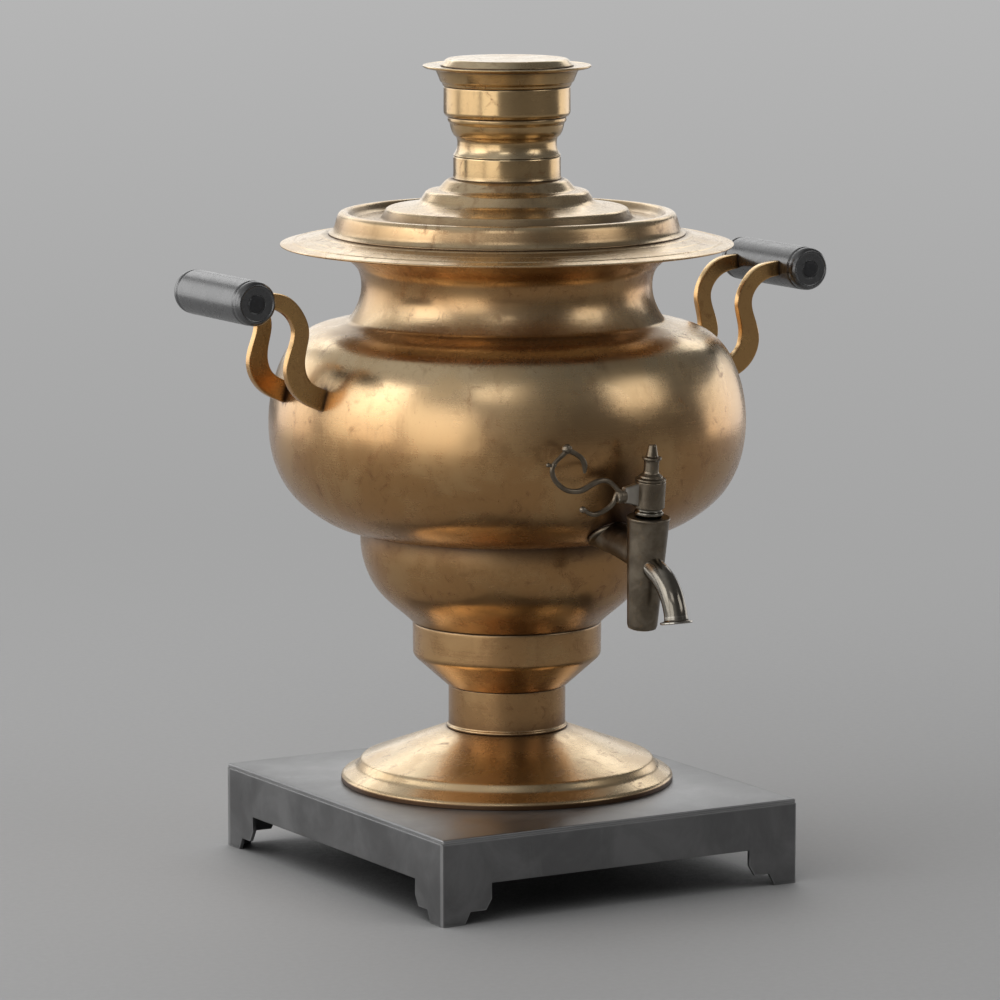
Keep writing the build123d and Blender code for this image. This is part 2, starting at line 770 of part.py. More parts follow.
hub_bottom = key_ring_height
hub_top = key_ring_height + hub_height
with BuildPart() as key_hub:
    with BuildSketch(barrel_plane):
        with BuildLine():
            Polyline(
                (key_stem_r, hub_bottom), (hub_r - 0.4, hub_bottom), (hub_r, hub_bottom + 0.4),
                (hub_r, hub_top - 0.4), (hub_r - 0.4, hub_top), (key_stem_r, hub_top), close=True,
            )
        make_face()
    revolve(axis=barrel_line)
    with BuildSketch(barrel_plane):
        with BuildLine():
            Polyline(
                (-0.8 * hub_r, hub_top - 0.4), (-web_reach, hub_top - 3), (-web_reach, hub_bottom + 4.3),
                (-0.8 * hub_r, hub_bottom + 0.3), close=True,
            )
        make_face()
    extrude(amount=web_sheet / 2, both=True)
save(key_hub, "key_hub")

scroll_x = -web_reach - scroll_block / 2
scroll_mid = hub_bottom + 8.2
upper_scroll = [
    (scroll_x, scroll_mid + 2.4), (-26.5, scroll_mid + 7.7), (-31.2, scroll_mid + 10.3),
    (-37, scroll_mid + 10.2), (-43.4, scroll_mid + 7.5), (-51, scroll_mid + 5.3), (-58.6, scroll_mid + 7),
    (-65.2, scroll_mid + 11.8), (-68.4, scroll_mid + 18.4), (-66.6, scroll_mid + 24.2),
    (-60.4, scroll_mid + 29.2), (-54.4, scroll_mid + 28.7), (-48.9, scroll_mid + 25),
    (-46.3, scroll_mid + 19.2), (-46.4, scroll_mid + 16.8),
]
lower_scroll = [
    (scroll_x - 1, scroll_mid + 2), (-23.8, scroll_mid - 0.2), (-24.9, scroll_mid - 3.1),
    (-28.2, scroll_mid - 6.5), (-34.7, scroll_mid - 9.1), (-40.6, scroll_mid - 9), (-45.4, scroll_mid - 6.3),
]
bud = (-58.4, scroll_mid + 31.7)
side_bead = (-69.8, scroll_mid + 22.2)
with BuildPart() as key_scroll:
    with BuildSketch(barrel_plane):
        with BuildLine():
            Spline(*upper_scroll)
        trace(line_width=scroll_width)
        with BuildLine():
            Spline(*lower_scroll)
        trace(line_width=scroll_width)
    extrude(amount=scroll_sheet / 2, both=True)
    with BuildSketch(barrel_plane):
        with Locations((scroll_x, scroll_mid)):
            Rectangle(scroll_block, 8)
    extrude(amount=web_sheet / 2 + 0.5, both=True)
    for place, radius in ((bud, 2.9), (side_bead, 1.6), (lower_scroll[-1], 2.0), (upper_scroll[-1], 1.7)):
        with Locations(barrel_plane.from_local_coords(Vector(*place))):
            Sphere(radius)
save(key_scroll, "key_scroll")

with BuildPart() as key_finial:
    with BuildSketch(barrel_plane):
        with BuildLine():
            Polyline(*raised([
                (0, 0), (hub_r - 0.5, 0), (hub_r, 0.5), (hub_r - 0.2, 1.5), (hub_r - 1, 2.1),
                (finial_collar_r, 2.2), (finial_collar_r - 0.3, 3.3), (finial_neck_r + 1, 3.9),
                (finial_neck_r, 5), (finial_neck_r, 11.2), (finial_neck_r + 0.5, 11.8),
                (finial_neck_r + 0.5, 12.6), (finial_neck_r + 1.3, 12.9), (finial_neck_r + 1.3, 14.5),
                (finial_neck_r - 0.9, 14.8),
                (finial_tip_r + 0.2, finial_height - 0.4),
                (finial_tip_r - 0.3, finial_height), (0, finial_height),
            ], hub_top), close=True)
        make_face()
    revolve(axis=barrel_line)
save(key_finial, "key_finial")

# Handles: two S-shaped bars carry each grip, which is threaded on a rod between them
bar_upper = [
    (13.6, 4.5), (28.5, 1.8), (39.2, -8.3), (43.5, -20.1), (40.6, -38), (43.4, -49.4),
    (56.1, -56.9), (68, -62),
]
bar_lower = [
    (14.4, -4.9), (26.7, -9.2), (33.2, -19.6), (30.2, -32.5), (27.8, -45.5), (34.2, -59.3), (53, -69.8),
    (66, -74.6),
]
rod_end = grip_length / 2 - cap_nut_inset - cap_nut_height
nuts_at = []
for hand, way in hands.items():
    centre = Vector(way * grip_x, 0, grip_z)
    axis_along = Axis(centre, (0, 1, 0))
    with BuildPart() as grip:
        with BuildSketch(Plane(origin=centre)):
            with BuildLine():
                half_section = [
                    (rod_r + rod_fit, 0), (rod_r + rod_fit, rod_end), (cap_nut_r + rod_fit, rod_end),
                    (cap_nut_r + rod_fit, grip_length / 2), (grip_face_r, grip_length / 2),
                    (grip_face_r + 0.6, grip_length / 2 - 0.5),
                    (grip_r - 0.5, grip_length / 2 - grip_bevel + 0.7),
                    (grip_r, grip_length / 2 - grip_bevel), (grip_r, 0),
                ]
                Polyline(*half_section)
                Polyline(*[(x, -y) for x, y in half_section])
            make_face()
        revolve(axis=axis_along)
        for y in bar_places.values():
            with BuildSketch(Plane.XZ.offset(-y)):
                with Locations((centre.X, centre.Z)):
                    Circle(bar_tongue / 2 + slot_fit)
                with Locations((centre.X - way * grip_r / 2, centre.Z)):
                    Rectangle(grip_r, bar_tongue + 2 * slot_fit)
            extrude(amount=bar_sheet / 2 + slot_fit, both=True, mode=Mode.SUBTRACT)
    save(grip, f"grip_{hand}")

    with BuildPart() as rod:
        with BuildSketch(Plane(origin=centre - Vector(0, rod_end, 0), x_dir=(1, 0, 0), z_dir=(0, 1, 0))):
            Circle(rod_r)
        extrude(amount=2 * rod_end)
    save(rod, f"grip_rod_{hand}")

    for place, y in bar_places.items():
        bar_plane = Plane.XZ.offset(-y)
        with BuildPart() as bar:
            with BuildSketch(bar_plane):
                with BuildLine():
                    upper = Spline(*[(way * (grip_x - x), grip_z + z) for x, z in bar_upper])
                    lower = Spline(*[(way * (grip_x - x), grip_z + z) for x, z in bar_lower])
                    Line(upper @ 0, lower @ 0)
                    Line(upper @ 1, lower @ 1)
                make_face()
                with Locations((centre.X - way * grip_r / 2 - way * 0.5, centre.Z)):
                    Rectangle(grip_r + 1, bar_tongue)
                with Locations((centre.X, centre.Z)):
                    Circle(bar_tongue / 2)
                    Circle(rod_r + rod_fit, mode=Mode.SUBTRACT)
            extrude(amount=bar_sheet / 2, both=True)
            add(outside_room, mode=Mode.SUBTRACT)
            wall_x = (wall_at(stud_z) ** 2 - y ** 2) ** 0.5
            with BuildSketch(Plane(origin=(way * (wall_x + 4), y, stud_z), z_dir=(-way, 0, 0))):
                Circle(stud_r)
            extrude(amount=4 + stud_reach + sheet + strap_sheet)
        save(bar, f"handle_bar_{hand}_{place}")
        nuts_at.append((way, y, wall_x))

    with BuildPart() as strap:
        start_plane = Plane.XZ.rotated((0, 0, -strap_angle / 2 + (180 if way < 0 else 0)))
        with BuildSketch(start_plane):
            with BuildLine():
                outer = lining(belly_edge, sheet)
                inner = lining(belly_edge, sheet + strap_sheet)
                Line(outer @ 0, inner @ 0)
                Line(outer @ 1, inner @ 1)
            make_face()
            with Locations((belly_r - 20, stud_z)):
                Rectangle(belly_r, strap_height, mode=Mode.INTERSECT)
        revolve(axis=Axis.Z, revolution_arc=strap_angle)
        with BuildSketch(Plane.YZ):
            with Locations(*[(y, stud_z) for y in bar_places.values()]):
                Circle(stud_r + stud_fit)
        extrude(amount=way * 2 * belly_r, mode=Mode.SUBTRACT)
    save(strap, f"handle_strap_{hand}")

with BuildPart() as grip_cap_nuts:
    for way in hands.values():
        for end in (-1, 1):
            base = Vector(way * grip_x, end * rod_end, grip_z)
            with BuildSketch(Plane(origin=base, x_dir=(1, 0, 0), z_dir=(0, end, 0))):
                Circle(cap_nut_r)
            extrude(amount=cap_nut_height)
    chamfer(grip_cap_nuts.faces().filter_by(Axis.Y).group_by(SortBy.AREA)[-1].edges(), length=0.3)
save(grip_cap_nuts, "grip_cap_nuts")

nut_depth = sheet + strap_sheet + nut_height
with BuildPart() as handle_nuts:
    for way, y, wall_x in nuts_at:
        with BuildSketch(Plane(origin=(way * (wall_x - nut_depth), y, stud_z), z_dir=(way, 0, 0))):
            RegularPolygon(radius=nut_width / 2, side_count=6, major_radius=False)
            Circle(stud_r + stud_fit, mode=Mode.SUBTRACT)
        extrude(amount=nut_height + 2)
    add(strap_room, mode=Mode.INTERSECT)
save(handle_nuts, "handle_nuts")
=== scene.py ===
from math import cos, pi, radians, sin, tan

import bmesh
import bpy
import numpy as np
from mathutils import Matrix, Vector


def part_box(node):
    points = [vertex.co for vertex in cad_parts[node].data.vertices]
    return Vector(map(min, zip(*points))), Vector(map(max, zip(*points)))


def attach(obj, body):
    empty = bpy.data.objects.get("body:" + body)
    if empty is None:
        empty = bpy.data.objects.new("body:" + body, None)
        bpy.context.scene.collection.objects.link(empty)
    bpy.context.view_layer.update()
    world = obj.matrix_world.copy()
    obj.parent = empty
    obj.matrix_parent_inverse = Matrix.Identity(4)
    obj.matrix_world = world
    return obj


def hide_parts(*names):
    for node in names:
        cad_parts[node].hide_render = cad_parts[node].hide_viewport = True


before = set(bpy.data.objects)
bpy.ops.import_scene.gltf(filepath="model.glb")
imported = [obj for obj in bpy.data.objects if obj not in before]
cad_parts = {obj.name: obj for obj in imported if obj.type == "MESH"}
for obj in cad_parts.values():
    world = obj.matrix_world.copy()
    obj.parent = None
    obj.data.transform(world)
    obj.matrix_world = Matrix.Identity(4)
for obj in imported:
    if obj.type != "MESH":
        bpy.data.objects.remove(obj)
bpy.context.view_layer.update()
print("frame loaded:", len(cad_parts), "nodes")

mm = 0.001  # outlines are in millimetres, everything else is in metres
sharpFrom = 32  # two faces meet in a sharp edge from this angle, in degrees

# Camera
shot = {
    "azimuth": -30.243, "elevation": 8.441,  # degrees
    "distance": 3.4445, "target": (-0.003715, 0.002166, 0.2279),
    "lens": 200, "sensor": 36,  # millimetres
}


def outFrom(azimuth, elevation):
    # the direction that leads away from the object, 0 on the tap's side and 90 over the right handle
    a, e = radians(azimuth), radians(elevation)
    return Vector((sin(a) * cos(e), -cos(a) * cos(e), sin(e)))


def addCamera():
    camera = bpy.data.objects.new("camera", bpy.data.cameras.new("camera"))
    bpy.context.scene.collection.objects.link(camera)
    camera.data.lens = shot["lens"]
    camera.data.sensor_width = shot["sensor"]
    camera.data.clip_end = 100
    back = outFrom(shot["azimuth"], shot["elevation"])
    camera.location = Vector(shot["target"]) + back * shot["distance"]
    camera.rotation_mode = "QUATERNION"
    camera.rotation_quaternion = (-back).to_track_quat("-Z", "Y")
    bpy.context.scene.camera = camera


addCamera()
bpy.context.scene.view_settings.view_transform = "Standard"


# Lines and outlines
def splined(points, steps=8):
    # a smooth line through points, at an even pace along them
    points = np.array(points, float)
    gaps = np.linalg.norm(np.diff(points, axis=0), axis=1)
    count = len(points)
    bends = np.eye(count)
    pull = np.zeros_like(points)
    for i in range(1, count - 1):
        bends[i, i - 1:i + 2] = gaps[i - 1], 2 * (gaps[i - 1] + gaps[i]), gaps[i]
        pull[i] = 6 * ((points[i + 1] - points[i]) / gaps[i] - (points[i] - points[i - 1]) / gaps[i - 1])
    bend = np.linalg.solve(bends, pull)
    line = []
    for i, gap in enumerate(gaps):
        for u in np.arange(steps) / steps * gap:
            v = gap - u
            line.append(
                (bend[i] * v ** 3 + bend[i + 1] * u ** 3) / (6 * gap)
                + (points[i] / gap - bend[i] * gap / 6) * v
                + (points[i + 1] / gap - bend[i + 1] * gap / 6) * u
            )
    return np.array(line + [points[-1]])


def eased(outline, rounding, closed=True, steps=4):
    # the outline with a small curve at each real corner
    outline = np.array(outline, float)
    count = len(outline)
    line = []
    for i, corner in enumerate(outline):
        toBefore = outline[i - 1] - corner
        toAfter = outline[(i + 1) % count] - corner
        before, after = np.linalg.norm(toBefore), np.linalg.norm(toAfter)
        straight = -np.dot(toBefore, toAfter) / (before * after) > cos(radians(9))
        if straight or (not closed and i in (0, count - 1)):
            line.append(corner)
            continue
        reach = min(rounding, 0.42 * before, 0.42 * after)
        start = corner + toBefore / before * reach
        end = corner + toAfter / after * reach
        # a point on either side keeps the wear of an edge close to it
        line.append(corner + toBefore / before * min(1.8 * reach, 0.47 * before))
        for t in np.linspace(0, 1, steps + 1):
            line.append((1 - t) ** 2 * start + 2 * t * (1 - t) * corner + t * t * end)
        line.append(corner + toAfter / after * min(1.8 * reach, 0.47 * after))
    return np.array(line)


def beside(line, distance):
    # a line at a distance to the left of another, mitred at its corners
    line = np.array(line, float)
    ways = np.diff(line, axis=0)
    ways /= np.linalg.norm(ways, axis=1)[:, None]
    along = np.vstack([ways[:1], ways]) + np.vstack([ways, ways[-1:]])
    across = np.stack([-along[:, 1], along[:, 0]], axis=1)
    return line + across * (2 * distance / (across ** 2).sum(axis=1))[:, None]


def folded(line, sheet):
    # the closed section of a sheet whose outer face follows the line
    return np.vstack([line, beside(line, sheet)[::-1]])


def placed(points, reach, level):
    # outline points in millimetres from a rim and a level, as metres
    return [(reach + r * mm, level + z * mm) for r, z in points]


def levelOf(node):
    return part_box(node)[0].z


def topOf(node):
    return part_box(node)[1].z


def reachOf(node):
    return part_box(node)[1].x


def outlineOf(shape, node):
    # a piece's outline, set out from its own rim and underside
    return placed(shape["outline"], reachOf(node), levelOf(node))


def scaled(outline):
    return [(r * mm, z * mm) for r, z in outline]


# Meshes
def solid(name, points, faces):
    mesh = bpy.data.meshes.new(name)
    mesh.from_pydata([tuple(p) for p in points], [], faces)
    work = bmesh.new()
    work.from_mesh(mesh)
    bmesh.ops.remove_doubles(work, verts=work.verts, dist=1e-7)
    bmesh.ops.recalc_face_normals(work, faces=work.faces)
    work.to_mesh(mesh)
    work.free()
    mesh.shade_smooth()
    mesh.set_sharp_from_angle(angle=radians(sharpFrom))
    piece = bpy.data.objects.new(name, mesh)
    bpy.context.scene.collection.objects.link(piece)
    # broad faces keep their plane beside a narrow rounding
    even = piece.modifiers.new("evenShading", "WEIGHTED_NORMAL")
    even.keep_sharp = True
    return piece


def skinFaces(rows, across, wrapRows=True, wrapAcross=True, capped=False, start=0):
    index = np.arange(rows * across).reshape(rows, across) + start
    ahead = np.roll(index, -1, axis=0)
    quads = np.stack([index, np.roll(index, -1, axis=1), np.roll(ahead, -1, axis=1), ahead], axis=-1)
    quads = quads if wrapRows else quads[:-1]
    quads = quads if wrapAcross else quads[:, :-1]
    faces = quads.reshape(-1, 4).tolist()
    if capped:
        faces += [index[0][::-1].tolist(), index[-1].tolist()]
    return faces


def skinned(name, points, **how):
    # a skin over rows of points
    points = np.array(points, float)
    rows, across = points.shape[:2]
    return solid(name, points.reshape(-1, 3), skinFaces(rows, across, **how))


def joined(name, pieces):
    # several skins as one piece
    points, faces = [], []
    for rows, how in pieces:
        rows = np.array(rows, float)
        faces += skinFaces(*rows.shape[:2], start=len(points), **how)
        points += rows.reshape(-1, 3).tolist()
    return solid(name, points, faces)


def spunRows(section, turns=192, centre=(0, 0, 0), axis=(0, 0, 1), side=(1, 0, 0)):
    # the rows of a section turned about an axis
    section = np.array(section, float)
    axis = np.array(Vector(axis).normalized())
    side = np.array(side, float)
    third = np.cross(axis, side)
    angles = np.arange(turns) / turns * 2 * pi
    spokes = np.cos(angles)[:, None] * side + np.sin(angles)[:, None] * third
    out = spokes[:, None, :] * section[None, :, 0, None]
    return np.array(centre) + out + axis * section[None, :, 1, None]


def spun(name, section, turns=192, wavy=False, **where):
    rows = spunRows(section, turns, **where)
    if wavy:
        rows = uneven(rows)
    throughAxis = abs(section[0][0]) < 1e-9 and abs(section[-1][0]) < 1e-9
    return skinned(name, rows, wrapAcross=not throughAxis)


handwork = {
    "swell": 0.11 * mm,
    # dents as (azimuth, level, width, depth), the last two in millimetres
    "dents": [
        (-62, 0.287, 5, 0.10), (-58, 0.296, 3.6, -0.08), (-55, 0.281, 4.5, 0.09), (-38, 0.283, 6, 0.16),
        (-34, 0.294, 4, 0.12), (-6, 0.272, 5.5, 0.14), (14, 0.301, 7, 0.15), (33, 0.268, 5, 0.14),
        (-20, 0.250, 9, 0.18), (-80, 0.262, 8, 0.16), (70, 0.290, 8, 0.18), (120, 0.270, 10, 0.22),
        (165, 0.300, 8, 0.18), (-130, 0.255, 9, 0.2), (-155, 0.292, 7, 0.16),
    ],
    "dentsFrom": 0.11,  # only the belly is dented, out beyond this radius
}


def uneven(rows):
    # the slow waviness and the shallow dents of hand-raised sheet
    x, y, z = rows[..., 0], rows[..., 1], rows[..., 2]
    angle = np.arctan2(x, -y)
    radius = np.hypot(x, y)
    shift = handwork["swell"] * (
        np.sin(3 * angle + 38 * z + 0.7) + 0.6 * np.sin(5 * angle - 61 * z + 2.1)
        + 0.35 * np.sin(11 * angle + 95 * z + 0.4)
    )
    for azimuth, level, size, depth in handwork["dents"]:
        away = np.angle(np.exp(1j * (angle - radians(azimuth)))) * radius
        near = np.exp(-(away ** 2 + (z - level) ** 2) / (2 * (size * mm / 2) ** 2))
        shift = shift - depth * mm * near * (radius > handwork["dentsFrom"])
    grow = 1 + shift / np.maximum(radius, 0.02)
    return np.stack([x * grow, y * grow, z], axis=-1)


def sweptRows(path, radii, around=28, flat=1.0, side=(1, 0, 0)):
    # round sections along a path that keeps to one plane; flat squeezes them across that plane
    path = np.array(path, float)
    side = np.array(side, float)
    along = np.gradient(path, axis=0)
    along /= np.linalg.norm(along, axis=1)[:, None]
    up = np.cross(side, along)
    angles = np.arange(around) / around * 2 * pi
    ring = np.cos(angles)[None, :, None] * side * flat + np.sin(angles)[None, :, None] * up[:, None, :]
    return path[:, None, :] + ring * np.array(radii)[:, None, None]


# Finishes
def startFinish(name):
    finish = bpy.data.materials.new(name)
    finish.use_nodes = True
    tree = finish.node_tree
    tree.nodes.clear()
    shader = tree.nodes.new("ShaderNodeBsdfPrincipled")
    output = tree.nodes.new("ShaderNodeOutputMaterial")
    tree.links.new(shader.outputs["BSDF"], output.inputs["Surface"])
    return finish, tree, shader


def feed(tree, socket, value):
    # a socket takes another node's output, or a plain number or colour
    if isinstance(value, bpy.types.NodeSocket):
        tree.links.new(value, socket)
    else:
        socket.default_value = value


def added(tree, kind, inputs):
    node = tree.nodes.new(kind)
    for name, value in inputs.items():
        feed(tree, node.inputs[name], value)
    return node


def objectPoint(tree):
    return tree.nodes.new("ShaderNodeTexCoord").outputs["Object"]


def objectNormal(tree):
    return tree.nodes.new("ShaderNodeTexCoord").outputs["Normal"]


def apart(tree, vector):
    return added(tree, "ShaderNodeSeparateXYZ", {0: vector}).outputs


def math(tree, operation, first, second=0.0, clamp=False):
    node = added(tree, "ShaderNodeMath", {0: first, 1: second})
    node.operation = operation
    node.use_clamp = clamp
    return node.outputs[0]


def times(tree, first, second):
    return math(tree, "MULTIPLY", first, second)


def plus(tree, first, second, clamp=False):
    return math(tree, "ADD", first, second, clamp)


def swing(tree, pattern, share):
    # a share of how far a pattern strays from its middle
    return times(tree, math(tree, "SUBTRACT", pattern, 0.5), share)


def fromAxis(tree, x, y):
    return math(tree, "SQRT", plus(tree, times(tree, x, x), times(tree, y, y)))


def spanned(tree, value, low, high, toLow=0.0, toHigh=1.0):
    # a value's span stretched to another, with soft ends
    spans = {"From Min": low, "From Max": high, "To Min": toLow, "To Max": toHigh}
    node = added(tree, "ShaderNodeMapRange", {"Value": value, **spans})
    node.interpolation_type = "SMOOTHSTEP"
    return node.outputs["Result"]


def noise(tree, point, scale, detail, rough, swirl=0.0, squeeze=None):
    if squeeze:
        point = added(tree, "ShaderNodeMapping", {"Vector": point, "Scale": squeeze}).outputs["Vector"]
    how = {"Scale": scale, "Detail": detail, "Roughness": rough, "Distortion": swirl}
    return added(tree, "ShaderNodeTexNoise", {"Vector": point, **how}).outputs["Fac"]


def blended(tree, factor, first, second, mode="MIX"):
    node = tree.nodes.new("ShaderNodeMix")
    node.data_type = "RGBA"
    node.blend_type = mode
    node.clamp_factor = True
    feed(tree, node.inputs["Factor"], factor)
    for socket, colour in ((node.inputs[6], first), (node.inputs[7], second)):
        feed(tree, socket, (*colour, 1) if isinstance(colour, tuple) else colour)
    return node.outputs[2]


def spunPoint(tree, point):
    # the same place on every turn of the lathe: distance from the axis, and height
    x, y, z = apart(tree, point)
    return added(tree, "ShaderNodeCombineXYZ", {0: fromAxis(tree, x, y), 2: z}).outputs[0]


def crevice(tree, distance):
    # 0 deep in a corner, 1 out in the open
    node = added(tree, "ShaderNodeAmbientOcclusion", {"Distance": distance})
    node.samples = 8
    return node.outputs["AO"]


def pointed(tree):
    # above a half on outer edges, below it in folds
    return tree.nodes.new("ShaderNodeNewGeometry").outputs["Pointiness"]


def covered(tree, pattern, low, high, depth):
    # how much of a tint lies where a pattern runs from low to high
    return times(tree, spanned(tree, pattern, low, high), depth)


def surfaced(tree, shader, colour, rough, relief, bump):
    tree.links.new(colour, shader.inputs["Base Color"])
    tree.links.new(rough, shader.inputs["Roughness"])
    strength, distance = bump
    node = added(tree, "ShaderNodeBump", {"Strength": strength, "Distance": distance, "Height": relief})
    tree.links.new(node.outputs["Normal"], shader.inputs["Normal"])


# Brass; a pattern is (scale, detail, roughness, swirl) and then how it is squeezed
agedBrassLook = {
    "brown": (0.44, 0.235, 0.086), "pale": (0.68, 0.52, 0.31), "worn": (0.56, 0.365, 0.17),
    "tarnish": (0.22, 0.10, 0.035), "paintedShade": (0.05, 0.02, 0.007), "bright": (0.82, 0.66, 0.42),
    "paleLitFrom": (-0.15, 0.75),  # how far a face points up before it is painted pale: a painted highlight of the light from above
    "cloud": (26, 5, 0.6, 0.35), "cloudDepth": 0.45, "smudge": (105, 6, 0.68, 0.9), "smudgeDepth": 0.75,
    "streak": (78, 5, 0.65, 0.2, (1, 1, 0.14)), "streakDepth": 0.35,
    "speck": (620, 3, 0.6), "speckDepth": 0.35, "grain": (900, 3, 0.7), "grainDepth": 0.1,
    "creviceDepth": 0.025, "creviceShadeShare": 0.95, "edgeWear": 0.5,
    "roughness": (0.20, 0.32), "lacquer": 0.25, "lacquerRoughness": 0.28, "lacquerIndex": 1.7,
    "bump": (0.3, 0.12 * mm),
}
handleBrassLook = dict(
    agedBrassLook, brown=(0.56, 0.29, 0.09), pale=(0.72, 0.50, 0.24), worn=(0.56, 0.33, 0.12),
    paleLitFrom=(-0.4, 0.9), cloud=(60, 5, 0.6, 0.35), smudge=(180, 6, 0.68, 0.9), smudgeDepth=0.5,
    streakDepth=0.2, creviceDepth=0.004, edgeWear=0.7, roughness=(0.20, 0.30), lacquer=0.2,
)
crownBrassLook = dict(
    agedBrassLook, brown=(0.50, 0.33, 0.15), pale=(0.72, 0.58, 0.37), cloud=(38, 5, 0.6, 0.35),
    smudge=(130, 6, 0.68, 0.9), creviceDepth=0.008, roughness=(0.18, 0.27),
)


def brassFinish(name, look):
    finish, tree, shader = startFinish(name)
    point = objectPoint(tree)
    patterns = ("cloud", "smudge", "streak", "speck")
    cloud, smudge, streak, speck = [noise(tree, point, *look[k]) for k in patterns]
    grain = noise(tree, spunPoint(tree, point), *look["grain"])
    dull = times(tree, spanned(tree, smudge, 0.5, 0.74), spanned(tree, cloud, 0.62, 0.4))
    dull = times(tree, dull, look["smudgeDepth"])
    dots = covered(tree, speck, 0.64, 0.74, look["speckDepth"])
    # painted shade: deep in creases and corners the colour is darkened towards near black
    paintedShade = covered(tree, crevice(tree, look["creviceDepth"]), 0.94, 0.58, look["creviceShadeShare"])
    # painted light: the upper faces are painted pale as if lit from above, the lower ones keep a shaded brown
    litAbove = spanned(tree, apart(tree, objectNormal(tree))[2], *look["paleLitFrom"])
    colour = blended(tree, litAbove, look["brown"], look["pale"])
    for cover, tint in (
        (covered(tree, cloud, 0.42, 0.68, look["cloudDepth"]), "worn"), (dull, "tarnish"),
        (covered(tree, streak, 0.54, 0.76, look["streakDepth"]), "tarnish"), (dots, "tarnish"),
        (paintedShade, "paintedShade"), (covered(tree, pointed(tree), 0.52, 0.6, look["edgeWear"]), "bright"),
    ):
        colour = blended(tree, cover, colour, look[tint])
    rough = spanned(tree, cloud, 0.35, 0.7, *look["roughness"])
    swung = swing(tree, grain, look["grainDepth"])
    for share in (times(tree, dull, 0.22), times(tree, paintedShade, 0.25), swung):
        rough = plus(tree, rough, share)
    rough = plus(tree, rough, times(tree, dots, 0.15), clamp=True)
    relief = plus(tree, times(tree, smudge, 0.6), times(tree, grain, 0.5))
    relief = math(tree, "SUBTRACT", relief, times(tree, dots, 0.5))
    surfaced(tree, shader, colour, rough, relief, look["bump"])
    shader.inputs["Metallic"].default_value = 1.0
    shader.inputs["Coat Weight"].default_value = look["lacquer"]
    shader.inputs["Coat Roughness"].default_value = look["lacquerRoughness"]
    shader.inputs["Coat IOR"].default_value = look["lacquerIndex"]
    return finish


# Other finishes. Dark turns to light where the first pattern runs high, layers are laid over that as
# (pattern, from, to, depth, tint), grain roughens them, and the bump is (strength, distance)
tinnedLook = {
    "dark": (0.42, 0.40, 0.36), "light": (0.62, 0.58, 0.50), "limed": (0.70, 0.68, 0.62),
    "paintedShade": (0.16, 0.13, 0.10), "liming": 1.0, "shadeShare": 1.0, "creviceDepth": 0.02,
    "patterns": {"cloud": (40, 6, 0.65, 0.6), "scale": (260, 5, 0.7)}, "first": ("cloud", 0.4, 0.65),
    # the crevice layer is painted shade, darkening corners and recesses
    "layers": [("scale", 0.6, 0.75, "liming", "limed"), ("crevice", 0.6, 0.15, "shadeShare", "paintedShade")],
    "roughness": (0.36, 0.58), "grain": {}, "relief": {"scale": 1}, "bump": (0.5, 0.2 * mm),
    "sockets": {"Metallic": 0.9},
}
agedNickelLook = {
    "dark": (0.14, 0.112, 0.08), "light": (0.235, 0.195, 0.145), "brass": (0.40, 0.25, 0.12),
    "paintedShade": (0.05, 0.042, 0.035), "bright": (0.78, 0.74, 0.67),
    "brassing": 0.3, "shadeShare": 0.8, "edgeWear": 0.7, "creviceDepth": 0.004,
    "patterns": {
        "cloud": (85, 5, 0.6, 0.3), "smudge": (320, 5, 0.7, 0.6), "scratch": (1400, 3, 0.7, 0, (1, 1, 0.2)),
    },
    "first": ("cloud", 0.35, 0.7),
    "layers": [
        # the crevice layer is painted shade, darkening corners and recesses
        ("smudge", 0.55, 0.75, "brassing", "brass"), ("crevice", 0.7, 0.2, "shadeShare", "paintedShade"),
        ("edge", 0.52, 0.6, "edgeWear", "bright"),
    ],
    "roughness": (0.28, 0.40), "grain": {"scratch": 0.12}, "relief": {"smudge": 1, "scratch": 1},
    "bump": (0.4, 0.06 * mm), "sockets": {"Metallic": 1.0},
}
brightNickelLook = dict(
    agedNickelLook, dark=(0.175, 0.158, 0.13), light=(0.25, 0.228, 0.192), brassing=0.15, edgeWear=0.5,
    roughness=(0.12, 0.20), bump=(0.15, 0.06 * mm),
)
lacquerLook = {
    "dark": (0.010, 0.010, 0.011), "light": (0.018, 0.018, 0.019), "dusty": (0.05, 0.05, 0.051),
    "dust": 0.35, "edgeDust": 0.4,
    "patterns": {"figure": (420, 5, 0.65, 0.4, (1, 0.12, 1)), "cloud": (95, 6, 0.7, 0.5)},
    "first": ("figure", 0.4, 0.7),
    "layers": [("cloud", 0.55, 0.75, "dust", "dusty"), ("edge", 0.53, 0.62, "edgeDust", "dusty")],
    "roughness": (0.22, 0.31), "grain": {}, "relief": {"figure": 1, "cloud": 1}, "bump": (0.25, 0.08 * mm),
    "sockets": {"Coat Weight": 0.0, "Coat Roughness": 0.3, "IOR": 2.15},
}
blackEndLook = dict(
    lacquerLook, dark=(0.014, 0.014, 0.016), light=(0.022, 0.022, 0.024), dusty=(0.05, 0.05, 0.052),
    roughness=(0.42, 0.55), sockets={"Coat Weight": 0.1, "Coat Roughness": 0.4, "IOR": 1.45},
)


def steelPatterns(cloudScale, smearScale):
    return {
        "cloud": (cloudScale, 6, 0.62, 0.5), "smear": (smearScale, 6, 0.7, 0.4, (1, 1, 0.22)),
        "fine": (1500, 3, 0.7),
    }


